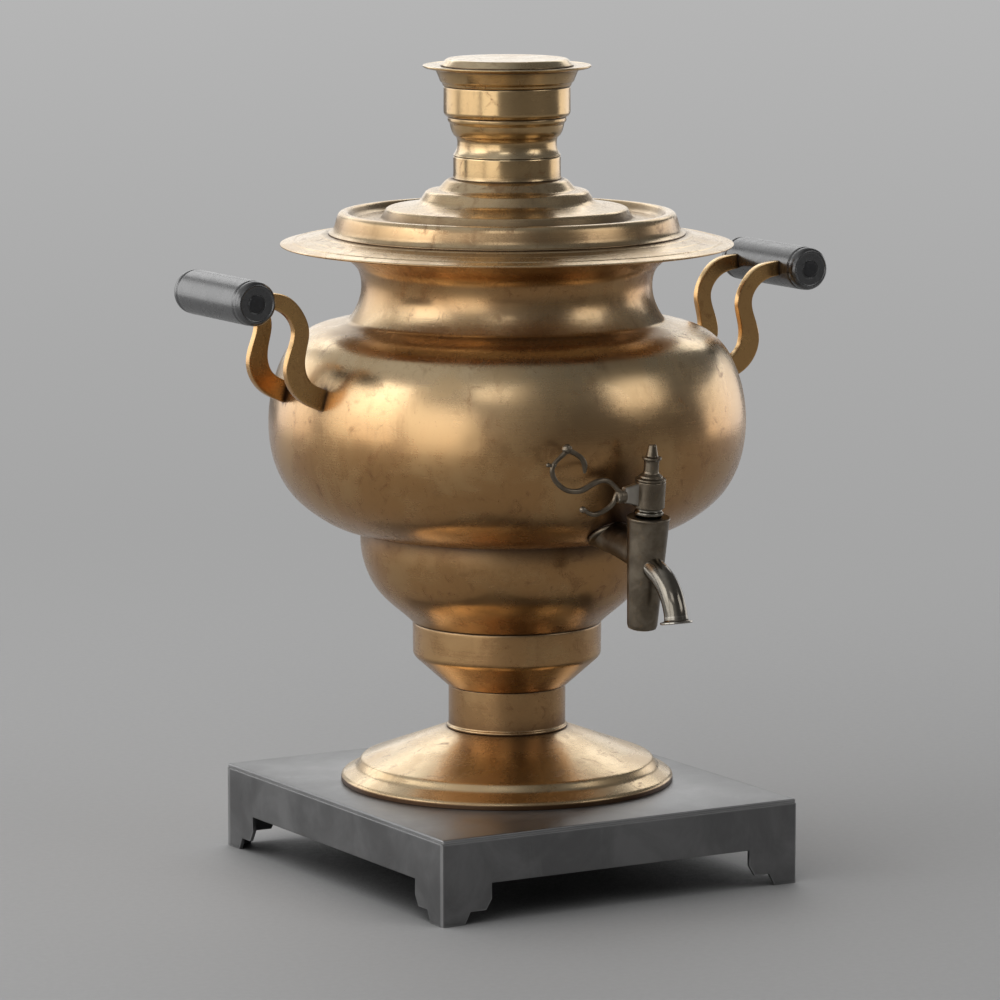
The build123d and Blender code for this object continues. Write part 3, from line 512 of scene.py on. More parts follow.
standSteelLook = {
    "dark": (0.155, 0.155, 0.156), "light": (0.22, 0.22, 0.221), "smeared": (0.265, 0.265, 0.265),
    "paintedShade": (0.02, 0.02, 0.02), "edge": (0.45, 0.45, 0.45),
    "smearing": 0.3, "flecks": 0.25, "shadeShare": 0.6, "edgeWear": 0.6, "creviceDepth": 0.006,
    "patterns": steelPatterns(24, 60), "first": ("cloud", 0.35, 0.68),
    "layers": [
        ("smear", 0.54, 0.74, "smearing", "smeared"), ("fine", 0.62, 0.72, "flecks", "smeared"),
        # the crevice layer is painted shade, darkening corners and recesses
        ("crevice", 0.7, 0.2, "shadeShare", "paintedShade"), ("edge", 0.51, 0.56, "edgeWear", "edge"),
    ],
    "roughness": (0.30, 0.42), "grain": {"smear": 0.2, "fine": 0.15}, "relief": {"cloud": 1.5, "fine": 1},
    "bump": (0.3, 0.1 * mm), "sockets": {"Metallic": 0.9, "Specular Tint": (0.88, 0.88, 0.88, 1)},
}
plainSteelLook = dict(
    standSteelLook, dark=(0.30, 0.30, 0.305), light=(0.42, 0.42, 0.425), smeared=(0.22, 0.16, 0.11),
    edge=(0.7, 0.7, 0.7), patterns=steelPatterns(90, 200), smearing=0.4, roughness=(0.30, 0.45),
    sockets={"Metallic": 1.0},
)
castIronLook = dict(
    standSteelLook, dark=(0.03, 0.028, 0.026), light=(0.06, 0.052, 0.046), smeared=(0.13, 0.075, 0.045),
    edge=(0.14, 0.13, 0.12), patterns=steelPatterns(120, 300), smearing=0.6, edgeWear=0.5,
    roughness=(0.62, 0.85), bump=(1.0, 0.1 * mm), sockets={"Metallic": 0.6},
)
leatherLook = {
    "dark": (0.055, 0.032, 0.02), "light": (0.11, 0.065, 0.04), "pitted": (0.03, 0.018, 0.012), "pits": 0.6,
    "patterns": {"pores": (1300, 4, 0.7), "cloud": (180, 4, 0.6)}, "first": ("cloud", 0.35, 0.7),
    "layers": [("pores", 0.55, 0.7, "pits", "pitted")],
    "roughness": (0.6, 0.8), "grain": {}, "relief": {"pores": 1}, "bump": (0.8, 0.15 * mm), "sockets": {},
}


def layeredFinish(name, look):
    finish, tree, shader = startFinish(name)
    point = objectPoint(tree)
    patterns = {key: noise(tree, point, *how) for key, how in look["patterns"].items()}
    patterns["edge"] = pointed(tree)
    # the crevice pattern lays painted shade into corners and recesses
    if "creviceDepth" in look:
        patterns["crevice"] = crevice(tree, look["creviceDepth"])
    first, low, high = look["first"]
    colour = blended(tree, spanned(tree, patterns[first], low, high), look["dark"], look["light"])
    for pattern, low, high, depth, tint in look["layers"]:
        cover = covered(tree, patterns[pattern], low, high, look[depth])
        colour = blended(tree, cover, colour, look[tint])
    rough = spanned(tree, patterns["cloud"], 0.3, 0.7, *look["roughness"])
    for pattern, share in look["grain"].items():
        rough = plus(tree, rough, swing(tree, patterns[pattern], share), clamp=True)
    relief = 0.0
    for pattern, share in look["relief"].items():
        relief = plus(tree, relief, times(tree, patterns[pattern], share))
    surfaced(tree, shader, colour, rough, relief, look["bump"])
    for socket, value in look["sockets"].items():
        shader.inputs[socket].default_value = value
    return finish


agedBrass = brassFinish("agedBrass", agedBrassLook)
handleBrass = brassFinish("handleBrass", handleBrassLook)
crownBrass = brassFinish("crownBrass", crownBrassLook)
agedNickel = layeredFinish("agedNickel", agedNickelLook)
brightNickel = layeredFinish("brightNickel", brightNickelLook)
tinnedBrass = layeredFinish("tinnedBrass", tinnedLook)
blackLacquer = layeredFinish("blackLacquer", lacquerLook)
blackEnd = layeredFinish("blackEnd", blackEndLook)
standSteel = layeredFinish("standSteel", standSteelLook)
plainSteel = layeredFinish("plainSteel", plainSteelLook)
castIron = layeredFinish("castIron", castIronLook)
gasketLeather = layeredFinish("gasketLeather", leatherLook)
print("finishes mixed")


def finished(piece, finish, body, slotName, *nodes):
    piece.data.materials.clear()
    piece.data.materials.append(finish)
    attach(piece, body)
    if nodes:
        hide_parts(*nodes)


def brassPiece(name, section, body, *nodes, finish=agedBrass, **how):
    finished(spun(name, section, **how), finish, body, "aged_brass", *nodes)


# Stand
standPlate = {
    "edge": 0.9 * mm, "underEdge": 0.3 * mm, "margin": 3 * mm, "corner": 1.6 * mm, "leastCorner": 0.2 * mm,
    "hole": 20 * mm,
}
standApron = {
    "sheet": 2.5 * mm, "edge": 0.35 * mm,
    # the foot at each end, from its corner inwards, in millimetres
    "foot": [(15.2, 0), (19.2, 7.5), (29.8, 7.5), (33.8, 14), (33.8, 23.6)],
}


def roundedBox(halfX, halfY, corner, steps=6, between=12):
    # one turn round a rectangle with rounded corners, as (x, y)
    quarters = ((1, 1), (-1, 1), (-1, -1), (1, -1))
    centres = [np.array([x * (halfX - corner), y * (halfY - corner)]) for x, y in quarters]
    line = []
    for k, centre in enumerate(centres):
        for a in np.linspace(k * pi / 2, (k + 1) * pi / 2, steps + 1):
            line.append(centre + corner * np.array([cos(a), sin(a)]))
        onward = centres[(k + 1) % 4] - centre
        line += [line[-1] + onward * t for t in np.arange(1, between) / between]
    return np.array(line)


def buildStandTop():
    low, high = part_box("stand_top")
    middle = np.array([low.x + high.x, low.y + high.y]) / 2
    halfX, halfY = (high.x - low.x) / 2, (high.y - low.y) / 2
    edge, under, margin, corner = [standPlate[k] for k in ("edge", "underEdge", "margin", "corner")]
    # the rim as (inset, level), from the underside round to the top
    rims = [(margin, low.z), (under, low.z), (0, low.z + under)]
    for a in np.linspace(0, pi / 2, 6):
        rims.append((edge * (1 - cos(a)), high.z - edge * (1 - sin(a))))
    rims.append((edge + margin, high.z))
    # the hole follows the samovar's axis
    outer = roundedBox(halfX, halfY, corner) + middle
    hole = outer / np.linalg.norm(outer, axis=1)[:, None] * standPlate["hole"]
    rows = [[(*spot, low.z) for spot in hole]]
    for inset, z in rims:
        rounding = max(corner - inset, standPlate["leastCorner"])
        ring = roundedBox(halfX - inset, halfY - inset, rounding) + middle
        rows.append([(*spot, z) for spot in ring])
    rows.append([(*spot, high.z) for spot in hole])
    return skinned("standTop", rows)


def buildApron(side):
    node = f"stand_apron_{side}"
    low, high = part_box(node)
    across = 1 if side in ("front", "back") else 0
    along = 1 - across
    # the outline runs round the apron, seen from outside
    butt = 0 if along == 0 else standApron["sheet"]
    length = high[along] - low[along] + 2 * butt
    foot = scaled(standApron["foot"])
    outline = [(butt, 0), *foot, *[(length - x, z) for x, z in foot[::-1]], (length - butt, 0)]
    outline += [(length - butt, high.z), (butt, high.z)]
    outward = 1 if side in ("back", "right") else -1
    outside = high[across] if outward > 0 else low[across]
    edge = standApron["edge"]
    steps = [(4 * edge, 0), (edge, 0), (0.3 * edge, 0.3 * edge), (0, edge)]
    depth = standApron["sheet"]
    rows = []
    for inset, deep in steps + [(i, depth - d) for i, d in steps[::-1]]:
        ring = beside(np.vstack([outline[-1:], outline, outline[:1]]), inset)[1:-1]
        row = np.zeros((len(ring), 3))
        row[:, along] = low[along] - butt + ring[:, 0]
        row[:, across] = outside - outward * deep
        row[:, 2] = ring[:, 1]
        rows.append(row)
    return skinned(f"standApron{side.title()}", rows, wrapRows=False, capped=True)


def buildStand():
    finished(buildStandTop(), standSteel, "stand", "stand_steel", "stand_top")
    for side in ("front", "back", "left", "right"):
        finished(buildApron(side), standSteel, "stand", "stand_steel", f"stand_apron_{side}")


buildStand()
print("stand built")

# Pedestal
pedestalFoot = {
    "sheet": 1.2 * mm, "rounding": 1.5 * mm,
    "outline": [
        (0, 0), (0, 3.2), (-1.2, 4.6), (-9.4, 9), (-12.4, 13.6), (-14.9, 14.6), (-65.8, 33.5), (-72.4, 33.5),
    ],
}
pedestalNeck = {
    "rounding": 0.5 * mm,
    "outline": [
        (-6.6, 0), (0, 0), (0, 1.4), (-1.2, 2.2), (-1.2, 26.4), (-6.6, 26.4), (-6.6, 25.2), (-2.4, 25.2),
        (-2.4, 1.2), (-6.6, 1.2),
    ],
}
pedestalCollar = {
    "sheet": 1.2 * mm, "rounding": 1.6 * mm,
    "outline": [(-27.7, 0), (-21.8, 0), (-1.5, 18.2), (-0.2, 20.4), (0, 40.5), (-8.7, 40.5)],
}


def sheetSection(shape, node):
    return eased(folded(outlineOf(shape, node), shape["sheet"]), shape["rounding"])


def buildPedestal():
    foot = sheetSection(pedestalFoot, "pedestal_foot")
    brassPiece("pedestalFoot", foot, "samovar", "pedestal_foot", turns=224)
    neck = eased(outlineOf(pedestalNeck, "pedestal_neck"), pedestalNeck["rounding"])
    brassPiece("pedestalNeck", neck, "samovar", "pedestal_neck")
    collar = sheetSection(pedestalCollar, "pedestal_collar")
    brassPiece("pedestalCollar", collar, "samovar", "pedestal_collar")


buildPedestal()
print("pedestal spun")

# Vessel
lowerBowl = {
    "sheet": 1.2 * mm, "rounding": 0.8 * mm, "foot": 58.7 * mm, "tuck": 1.4 * mm, "flange": 8.7 * mm,
    # (share of the swell, share of the height)
    "curve": [(0, 0), (0.21, 0.103), (0.5, 0.241), (0.76, 0.414), (0.921, 0.612), (0.997, 0.793), (1, 1)],
}
belly = {
    "sheet": 1.2 * mm, "rounding": 0.5 * mm, "lip": 0.4 * mm,
    "curve": [
        (0, 0), (0.225, 0.02), (0.537, 0.093), (0.721, 0.1625), (0.916, 0.302), (0.998, 0.488),
        (0.983, 0.619), (0.9, 0.766), (0.706, 0.906), (0.5, 0.963), (0.18, 0.996),
    ],
    "foot": 90.7 * mm, "height": 129.2 * mm,
}
throat = {
    "radius": 89.7 * mm, "seat": 112 * mm, "end": 117 * mm,
    # (share of the spread out to the lid's seat, share of the height up to the brim)
    "curve": [
        (0.35, 0.02), (0.295, 0.05), (0.12, 0.19), (0.03, 0.31), (0, 0.43), (0.03, 0.55), (0.12, 0.645),
        (0.33, 0.735), (0.66, 0.865), (1.04, 1),
    ],
}
brim = {
    "rounding": 0.5 * mm, "mouth": 97.9 * mm, "sheet": 1.5 * mm,
    "outline": [
        (-27.8, 0), (-25.4, -0.3), (-24.6, -0.8), (-17.2, -2.3), (-16.6, -2.6), (-9.2, -4.1), (-8.6, -3.8),
        (-7.6, -4), (-6.8, -4.5), (-1.2, -5.6), (0, -6.1), (-0.1, -6.7), (-1, -7.2), (-3, -6.5),
        (-13.9, -4.4), (-22.8, -1.7),
    ],
}


def bellyLine():
    # the outside of the belly and throat, from the seam on the bowl up to the brim
    level = levelOf("belly_lower")
    swell = reachOf("belly_lower") - belly["foot"]
    points = [(belly["foot"] + swell * u, level + belly["height"] * v) for u, v in belly["curve"]]
    shoulder = level + belly["height"]
    rise = topOf("throat_ring") - belly["sheet"] - shoulder
    spread = throat["seat"] - throat["radius"]
    points += [(throat["radius"] + spread * u, shoulder + rise * v) for u, v in throat["curve"]]
    return splined(points, 7)


def buildBowl():
    level, edge = levelOf("lower_bowl"), topOf("lower_bowl")
    foot, height = lowerBowl["foot"], edge - lowerBowl["tuck"] - level
    swell = reachOf("lower_bowl") - foot
    curve = splined([(foot + swell * u, level + height * v) for u, v in lowerBowl["curve"]], 8)
    curve = np.vstack([[(curve[0, 0] - lowerBowl["flange"], level)], curve, [(curve[-1, 0], edge)]])
    section = eased(folded(curve, lowerBowl["sheet"]), lowerBowl["rounding"])
    brassPiece("lowerBowl", section, "samovar", "lower_bowl", turns=224, wavy=True)


def buildBelly():
    line = bellyLine()
    top = topOf("throat_ring")
    edge = [(throat["end"], top - belly["sheet"]), (throat["end"], top), (line[-1, 0] - belly["lip"], top)]
    section = eased(np.vstack([line, edge, beside(line, belly["sheet"])[::-1]]), belly["rounding"])
    nodes = ("belly_lower", "belly_upper", "throat_ring")
    brassPiece("belly", section, "samovar", *nodes, turns=256, wavy=True)


def buildBrim():
    top = topOf("brim_ring")
    rim = placed(brim["outline"], reachOf("brim_ring"), top)
    ring = [(brim["mouth"], top), *rim, (brim["mouth"], top - brim["sheet"])]
    brassPiece("brimRing", eased(ring, brim["rounding"]), "samovar", "brim_ring", turns=256)


buildBowl()
buildBelly()
buildBrim()
print("vessel raised")

# Lid
lid = {
    "sheet": 1.3 * mm, "rounding": 1.1 * mm,
    "outline": [
        (0, 0), (0, 0.8), (-1.6, 1.5), (-3, 2.8), (-3.8, 4.6), (-5.4, 10.6), (-6.2, 12.4), (-7.8, 13.6),
        (-10.6, 13.8), (-12, 13.2), (-14.4, 9.8), (-16.6, 8.6), (-30.4, 8.6), (-32.4, 9.6), (-35.6, 15.4),
        (-37, 16.2), (-48, 17.8), (-54.4, 19.4), (-56.6, 20.8), (-59.8, 25.8), (-61.4, 26.8), (-67.4, 27.6),
        (-68.8, 28.8), (-72.4, 32.8), (-73.8, 33.6), (-75.8, 34), (-82.6, 34),
    ],
}
lidCollar = {
    "rounding": 0.8 * mm,
    "outline": [
        (-6, 0), (0, 0), (-0.4, 1.2), (-0.6, 3), (-0.6, 13.2), (-1, 14), (-2.4, 14), (-2.4, 2), (-6, 2),
    ],
}


def buildLid():
    cover = sheetSection(lid, "lid_rim")
    brassPiece("lidCover", cover, "lid", "lid_rim", "lid_dome", "lid_crest", turns=256)
    collar = eased(outlineOf(lidCollar, "lid_collar"), lidCollar["rounding"])
    brassPiece("lidCollar", collar, "lid", "lid_collar", finish=crownBrass)


buildLid()

# Crown and cap
crown = {
    "crownNeck": {
        "sheet": 1.2 * mm, "rounding": 1.6 * mm,
        "outline": [
            (-4.6, 0), (-3.5, 0.3), (-3.9, 0.9), (-4.6, 1.9), (-5.6, 4), (-6.1, 6.4), (-6.1, 9.4),
            (-5.3, 11.6), (-3.9, 12.6), (-2.5, 15.2), (-1.7, 18.2), (-1.4, 20), (-0.2, 21.4), (0, 24.2),
            (-3.1, 24.2),
        ],
    },
    "crownBand": {
        "sheet": 1.2 * mm, "rounding": 0.9 * mm,
        "outline": [(-4.8, 0), (-1.6, 0), (-0.2, 1.9), (0, 3.4), (-0.1, 18.6), (-4.5, 18.6)],
    },
    "crownCove": {
        "sheet": 1.2 * mm, "rounding": 0.9 * mm,
        "outline": [(-9, 0), (-4.7, 0), (-4.1, 2), (-3, 2.8), (-1.6, 6.4), (-0.5, 9), (0, 10.1), (-5, 10.1)],
    },
}
crownPlate = {
    "rounding": 0.5 * mm, "mouth": 35.5 * mm,
    "outline": [(-7, 0), (-1.4, 0.9), (-0.1, 1.8), (0, 2.4), (-0.5, 2.8), (-2.4, 2.3), (-5.8, 2.1)],
}
capCover = {
    "sheet": 1.2 * mm, "rounding": 0.9 * mm,
    "outline": [(0, 0), (-0.1, 0.6), (-3.1, 3.8), (-4.6, 4.5), (-40, 4.6)],
}


def buildCrown():
    for name, shape in crown.items():
        node = name.replace("crown", "crown_").lower()
        level = topOf(node) - max(z for r, z in shape["outline"]) * mm
        line = placed(shape["outline"], reachOf(node), level)
        section = eased(folded(line, shape["sheet"]), shape["rounding"])
        brassPiece(name, section, "crown", node, finish=crownBrass)
    line = outlineOf(crownPlate, "crown_plate")
    line = [(crownPlate["mouth"], line[0][1]), *line, (crownPlate["mouth"], line[-1][1])]
    section = eased(line, crownPlate["rounding"])
    brassPiece("crownPlate", section, "crown", "crown_plate", finish=crownBrass)


def buildCap():
    line = outlineOf(capCover, "cap_cover")
    inner = beside(line, capCover["sheet"])
    inner[-1, 0] = 0
    section = eased(np.vstack([line[::-1][:-1], line[:1], inner[1:]]), capCover["rounding"], closed=False)
    section[0, 0] = section[-1, 0] = 0
    brassPiece("capCover", section, "cap", "cap_cover", finish=crownBrass)


buildCrown()
buildCap()
print("lid, crown and cap spun")

# Tap, about its own drooping flow line and leaning barrel
tap = {
    "droop": 10.5, "lean": 5.74,  # degrees below the level, and off the upright
    # outlines are (radius, height) in millimetres, from the vessel outwards and from the barrel's top
    "rosette": [(0, -0.4), (13.1, -0.4), (13.4, 0.9), (13, 2.2), (11, 3.1), (10.6, 3.4), (0, 3.4)],
    "barrel": [
        (0, -3.5), (7.55, -3.5), (7.6, -0.6), (8, -0.1), (12.2, 0), (12.9, -0.3), (13.1, -0.9), (13, -1.7),
        (12.7, -2.3), (12.65, -3), (9.1, -66.4), (8.5, -68.4), (7, -69.1), (0, -69.2),
    ],
    "rosetteRounding": 0.6 * mm, "shankLength": 43.6 * mm, "aboveFlow": 24.6 * mm,
    # the shank and the spout's mouth as (length, radius), outwards from the vessel and back from the end
    "shank": [
        (-8, 11), (0, 11), (4, 10.7), (7, 10.1), (10, 9.8), (20, 9.7), (32, 9.8), (40, 9.8), (44, 9.8),
        (46, 9.8),
    ],
    "mouth": [
        (4.6, 7), (2.6, 7.15), (1.9, 7.7), (1.6, 9.3), (1.25, 9.75), (0.5, 9.8), (0.1, 9.5), (0, 8.8),
        (0, 5.8), (0.3, 5.2), (1.2, 5), (14, 5),
    ],
    "spoutDrop": 2.6 * mm, "spoutHeading": 22,  # where the spout's middle line leaves the barrel, in degrees
    "spoutRadius": 7 * mm, "spoutLead": 15.5 * mm, "spoutBend": 32.4 * mm, "spoutPitch": 80,
    "spoutTail": 3 * mm,
}
rightWay = np.array([1.0, 0, 0])


def heading(angle):
    # forward of the tap, and an angle in degrees below the level
    return np.array([0, -cos(radians(angle)), -sin(radians(angle))])


flow = heading(tap["droop"])
barrelAxis = np.array([0, -sin(radians(tap["lean"])), cos(radians(tap["lean"]))])
rootLevel = levelOf("belly_lower") + belly["height"] * belly["curve"][2][1]
profile = bellyLine()
tapRoot = np.array([0, -np.interp(rootLevel, profile[:, 1], profile[:, 0]), rootLevel])
valve = tapRoot + flow * tap["shankLength"]
barrelTop = valve + barrelAxis * tap["aboveFlow"]


def onBarrel(outline):
    return eased(scaled(outline), 0.25 * mm, closed=False, steps=3)


def buildShank():
    k = int(np.argmin(abs(profile[:, 1] - rootLevel)))
    slope = profile[k + 1] - profile[k - 1]
    slope /= np.linalg.norm(slope)
    outward = np.array([0, -slope[1], -slope[0]])
    section = eased(scaled(tap["rosette"]), tap["rosetteRounding"], closed=False)
    disc = spun("tapRosette", section, 96, centre=tapRoot, axis=outward)
    finished(disc, agedNickel, "samovar", "aged_nickel", "tap_rosette")
    path = [tapRoot + flow * length * mm for length, radius in tap["shank"]]
    radii = [radius * mm for length, radius in tap["shank"]]
    shank = skinned("tapShank", sweptRows(path, radii, 64), wrapRows=False, capped=True)
    finished(shank, agedNickel, "samovar", "aged_nickel", "tap_shank")


def buildBarrel():
    barrel = spun("tapBarrel", onBarrel(tap["barrel"]), 112, centre=barrelTop, axis=barrelAxis)
    finished(barrel, agedNickel, "samovar", "aged_nickel", "tap_barrel")


def buildSpout():
    root = valve - barrelAxis * tap["spoutDrop"]
    path = [root, root + heading(tap["spoutHeading"]) * tap["spoutLead"]]
    turns = np.linspace(tap["spoutHeading"], tap["spoutPitch"], 40)
    step = tap["spoutBend"] * radians(turns[1] - turns[0])
    for a, b in zip(turns, turns[1:]):
        path.append(path[-1] + heading((a + b) / 2) * step)
    fall = heading(tap["spoutPitch"])
    end = path[-1] + fall * tap["spoutTail"]
    rows = list(sweptRows(path, [tap["spoutRadius"]] * len(path), 64))
    for back, radius in tap["mouth"]:
        spots = [end - fall * back * mm, end - fall * (back - 1) * mm]
        rows.append(sweptRows(spots, [radius * mm] * 2, 64)[0])
    spout = skinned("tapSpout", rows, wrapRows=False, capped=True)
    finished(spout, brightNickel, "samovar", "polished_nickel", "tap_spout")


buildShank()
buildBarrel()
buildSpout()
print("tap turned")

# Key of the tap; outlines are (reach, height) in millimetres from the barrel's top
key = {
    "ring": [
        (0, -2.6), (7.2, -2.6), (7.25, 0.2), (8, 1), (8.6, 1.4), (8.7, 2.3), (8.6, 3.2), (8, 3.7), (7.6, 4.2),
        (7.6, 5), (7.9, 5.6), (0, 5.6),
    ],
    "hub": [(0, 5.4), (8.7, 5.4), (9.2, 5.9), (9.2, 21.4), (8.8, 21.9), (0, 21.9)],
    "finial": [
        (0, 21.9), (8.8, 21.9), (9.2, 22.3), (9.1, 23.2), (8.2, 23.7), (7.1, 24), (6.9, 25), (6, 25.6),
        (4.9, 26.5), (4.5, 27.6), (4.5, 33.2), (4.8, 34.4), (5.7, 34.8), (5.8, 35.4), (5.7, 36.2),
        (3.8, 36.7), (3.5, 37.4), (2.4, 43.1), (1.9, 43.8), (1.1, 43.9), (0, 43.9),
    ],
    # the web from the hub to the spool as (x, low, high)
    "web": [(-7.4, 5.8, 21.1), (-18.2, 9.7, 18.9)], "webThick": 4.5, "webEdge": 0.7,
    "spool": [
        (0, -17.4), (3.7, -17.4), (4, -17.8), (3.7, -18.5), (4.2, -19.2), (4.0, -20.1), (4.2, -21),
        (3.9, -21.9), (4, -22.6), (3.3, -23.5), (0, -23.7),
    ],
    "spoolLevel": 13.6, "spoolRounding": 0.3 * mm,
    # the wire of the scroll as (x, height, radius)
    "arm": [
        (-20.9, 15.6, 1.5), (-23.9, 19, 1.5), (-26.5, 21.3, 1.5), (-30.4, 23.8, 1.55), (-34.3, 24.3, 1.6),
        (-38.7, 23.3, 1.75), (-43.4, 21.1, 1.8), (-47.4, 19.4, 1.75), (-52.2, 19, 1.6), (-57.4, 20, 1.55),
        (-62.3, 22.8, 1.55), (-66.4, 27, 1.55), (-68.5, 31.7, 1.5), (-68.1, 35.6, 1.4), (-65.7, 38.6, 1.3),
        (-62.5, 41.3, 1.4), (-59.9, 43.5, 1.6),
    ],
    "leaf": [
        (-57.4, 44, 1.7), (-52.9, 41.7, 1.6), (-49.3, 39.1, 1.65), (-47, 35.9, 1.7), (-46.3, 32.8, 1.5),
        (-46.3, 30.4, 0.9),
    ],
    "hook": [
        (-22.3, 16.2, 1.5), (-23.7, 13.8, 1.5), (-24.4, 11.5, 1.55), (-26.7, 8.6, 1.6), (-30.3, 6.2, 1.6),
        (-34.7, 4.5, 1.55), (-38.8, 4.1, 1.5), (-42.4, 5.4, 1.4), (-44.9, 7.1, 1.35),
    ],
    # small beads as (x, height, radius)
    "beads": [(-46.2, 7.6, 2), (-71.5, 36.3, 1.35), (-69.9, 36.2, 0.9), (-67.7, 36.1, 1.7)],
    "bud": [
        (0, -1.6), (1.9, -1.4), (2.4, -0.2), (3, 0.6), (3.1, 1.9), (2.5, 2.7), (2.2, 3.4), (1.1, 4), (0, 4.2),
    ],
    "budRounding": 0.4 * mm, "budAt": (-58.9, 44), "budLean": 16,  # degrees
    # the small dome on each end of a wire as (distance out, share of the radius)
    "wireEnd": [(0.95, 0.3), (0.8, 0.6), (0.45, 0.89)],
}


keySide = np.cross(barrelAxis, rightWay)


def onKey(x, height, y=0.0):
    return barrelTop + rightWay * x * mm + barrelAxis * height * mm + keySide * y * mm


def wireRows(points):
    dense = splined(points, 6)
    path = np.array([onKey(x, s) for x, s, r in dense])
    radii = dense[:, 2] * mm
    start, end = [(a - b) / np.linalg.norm(a - b) for a, b in (path[:2], path[:-3:-1])]
    before = [path[0] + start * radii[0] * out for out, share in key["wireEnd"]]
    after = [path[-1] + end * radii[-1] * out for out, share in key["wireEnd"]][::-1]
    shares = np.array([share for out, share in key["wireEnd"]])
    radii = np.r_[radii[0] * shares, radii, radii[-1] * shares[::-1]]
    return sweptRows(np.vstack([before, path, after]), radii, 28, side=keySide)


def beadRows(x, height, radius):
    arc = [(radius * mm * sin(a), -radius * mm * cos(a)) for a in np.linspace(0, pi, 17)]
    arc[0], arc[-1] = (0, arc[0][1]), (0, arc[-1][1])
    return spunRows(arc, 28, centre=onKey(x, height), axis=barrelAxis)


def webRows():
    near, far = np.array(key["web"])
    half, edge = key["webThick"] / 2, key["webEdge"]
    rows = []
    for t in np.linspace(0, 1, 9):
        x, low, high = near + (far - near) * (t, t ** 0.7, t)
        side = [(half - edge, low), (half, low + edge), (half, high - edge), (half - edge, high)]
        ring = side[::-1] + [(-y, s) for y, s in side]
        rows.append([onKey(x, s, y) for y, s in ring])
    return rows


def buildKey():
    where = {"centre": barrelTop, "axis": barrelAxis}
    turned = {"wrapAcross": False}
    drawn = {"wrapRows": False, "capped": True}
    plug = spun("keyPlug", onBarrel(key["ring"]), 96, **where)
    finished(plug, brightNickel, "tap_key", "aged_nickel", "key_plug")
    hub = joined("keyHub", [(spunRows(onBarrel(key["hub"]), 96, **where), turned), (webRows(), drawn)])
    finished(hub, agedNickel, "tap_key", "aged_nickel", "key_hub")
    finial = spun("keyFinial", onBarrel(key["finial"]), 96, **where)
    finished(finial, agedNickel, "tap_key", "polished_nickel", "key_finial")
    spool = eased([(r * mm, -x * mm) for r, x in key["spool"]], key["spoolRounding"], closed=False)
    bud = eased(scaled(key["bud"]), key["budRounding"], closed=False)
    lean = radians(key["budLean"])
    budAxis = barrelAxis * cos(lean) - rightWay * sin(lean)
    parts = [
        (spunRows(spool, 48, centre=onKey(0, key["spoolLevel"]), axis=-rightWay, side=barrelAxis), turned),
        (spunRows(bud, 28, centre=onKey(*key["budAt"]), axis=budAxis, side=keySide), turned),
    ]
    parts += [(wireRows(key[branch]), drawn) for branch in ("arm", "leaf", "hook")]
    parts += [(beadRows(*bead), turned) for bead in key["beads"]]
    finished(joined("keyScroll", parts), agedNickel, "tap_key", "aged_nickel", "key_scroll")


buildKey()
print("key of the tap forged")

# Handles
handle = {
    "gripHalf": 42.5 * mm, "gripRounding": 0.35 * mm, "nutRounding": 0.2 * mm,
    # the ends of a grip and of its nut as (radius, distance in from the end)
    "gripEnd": [
        (0, 0.9), (5.15, 0.9), (5.3, 1.3), (5.7, 1.3), (5.9, 0.8), (10.0, 0.8), (10.6, 0.6), (10.9, 0),
        (11.6, 0.1), (12.9, 1.5), (13.4, 3.0), (13.5, 4.6), (13.3, 5.4), (12.8, 5.9), (13.2, 6.5),
        (13.6, 7.2),
    ],
    "nutEnd": [(0, 0.25), (3.6, 0.25), (4.9, 0.5), (5.1, 0.8), (5.15, 2.6), (0, 2.6)],
    "barSheet": 5 * mm, "barEdge": 0.7 * mm, "sink": 0.4 * mm,
    # the two edges of a bar, in millimetres inwards and upwards from the grip's middle
    "upper": [
        (4, 4.9), (13.6, 4.5), (28.5, 1.8), (39.2, -8.3), (43.5, -20.1), (40.6, -38), (43.4, -49.4),
        (56.1, -56.9), (68, -62),
    ],
    "lower": [
        (4, -4.6), (14.4, -4.9), (26.7, -9.2), (33.2, -19.6), (30.2, -32.5), (27.8, -45.5), (34.2, -59.3),
        (53, -69.8), (66, -74.6),
    ],
}


def untilBelly(line, y):
    # the stretch of a bar's edge that lies outside the belly, in even steps
    reach = np.interp(line[:, 1], profile[:, 1], profile[:, 0]) - handle["sink"]
    outside = np.hypot(line[:, 0], y) - reach
    last = int(np.argmax(outside < 0))
    share = outside[last - 1] / (outside[last - 1] - outside[last])
    line = np.vstack([line[:last], line[last - 1] + (line[last] - line[last - 1]) * share])
    gaps = np.r_[0, np.cumsum(np.linalg.norm(np.diff(line, axis=0), axis=1))]
    spots = np.linspace(0, gaps[-1], 64)
    return np.stack([np.interp(spots, gaps, line[:, k]) for k in (0, 1)], axis=1)


def gripMiddle(hand):
    low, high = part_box(f"grip_{hand}")
    return (low.x + high.x) / 2, (low.z + high.z) / 2


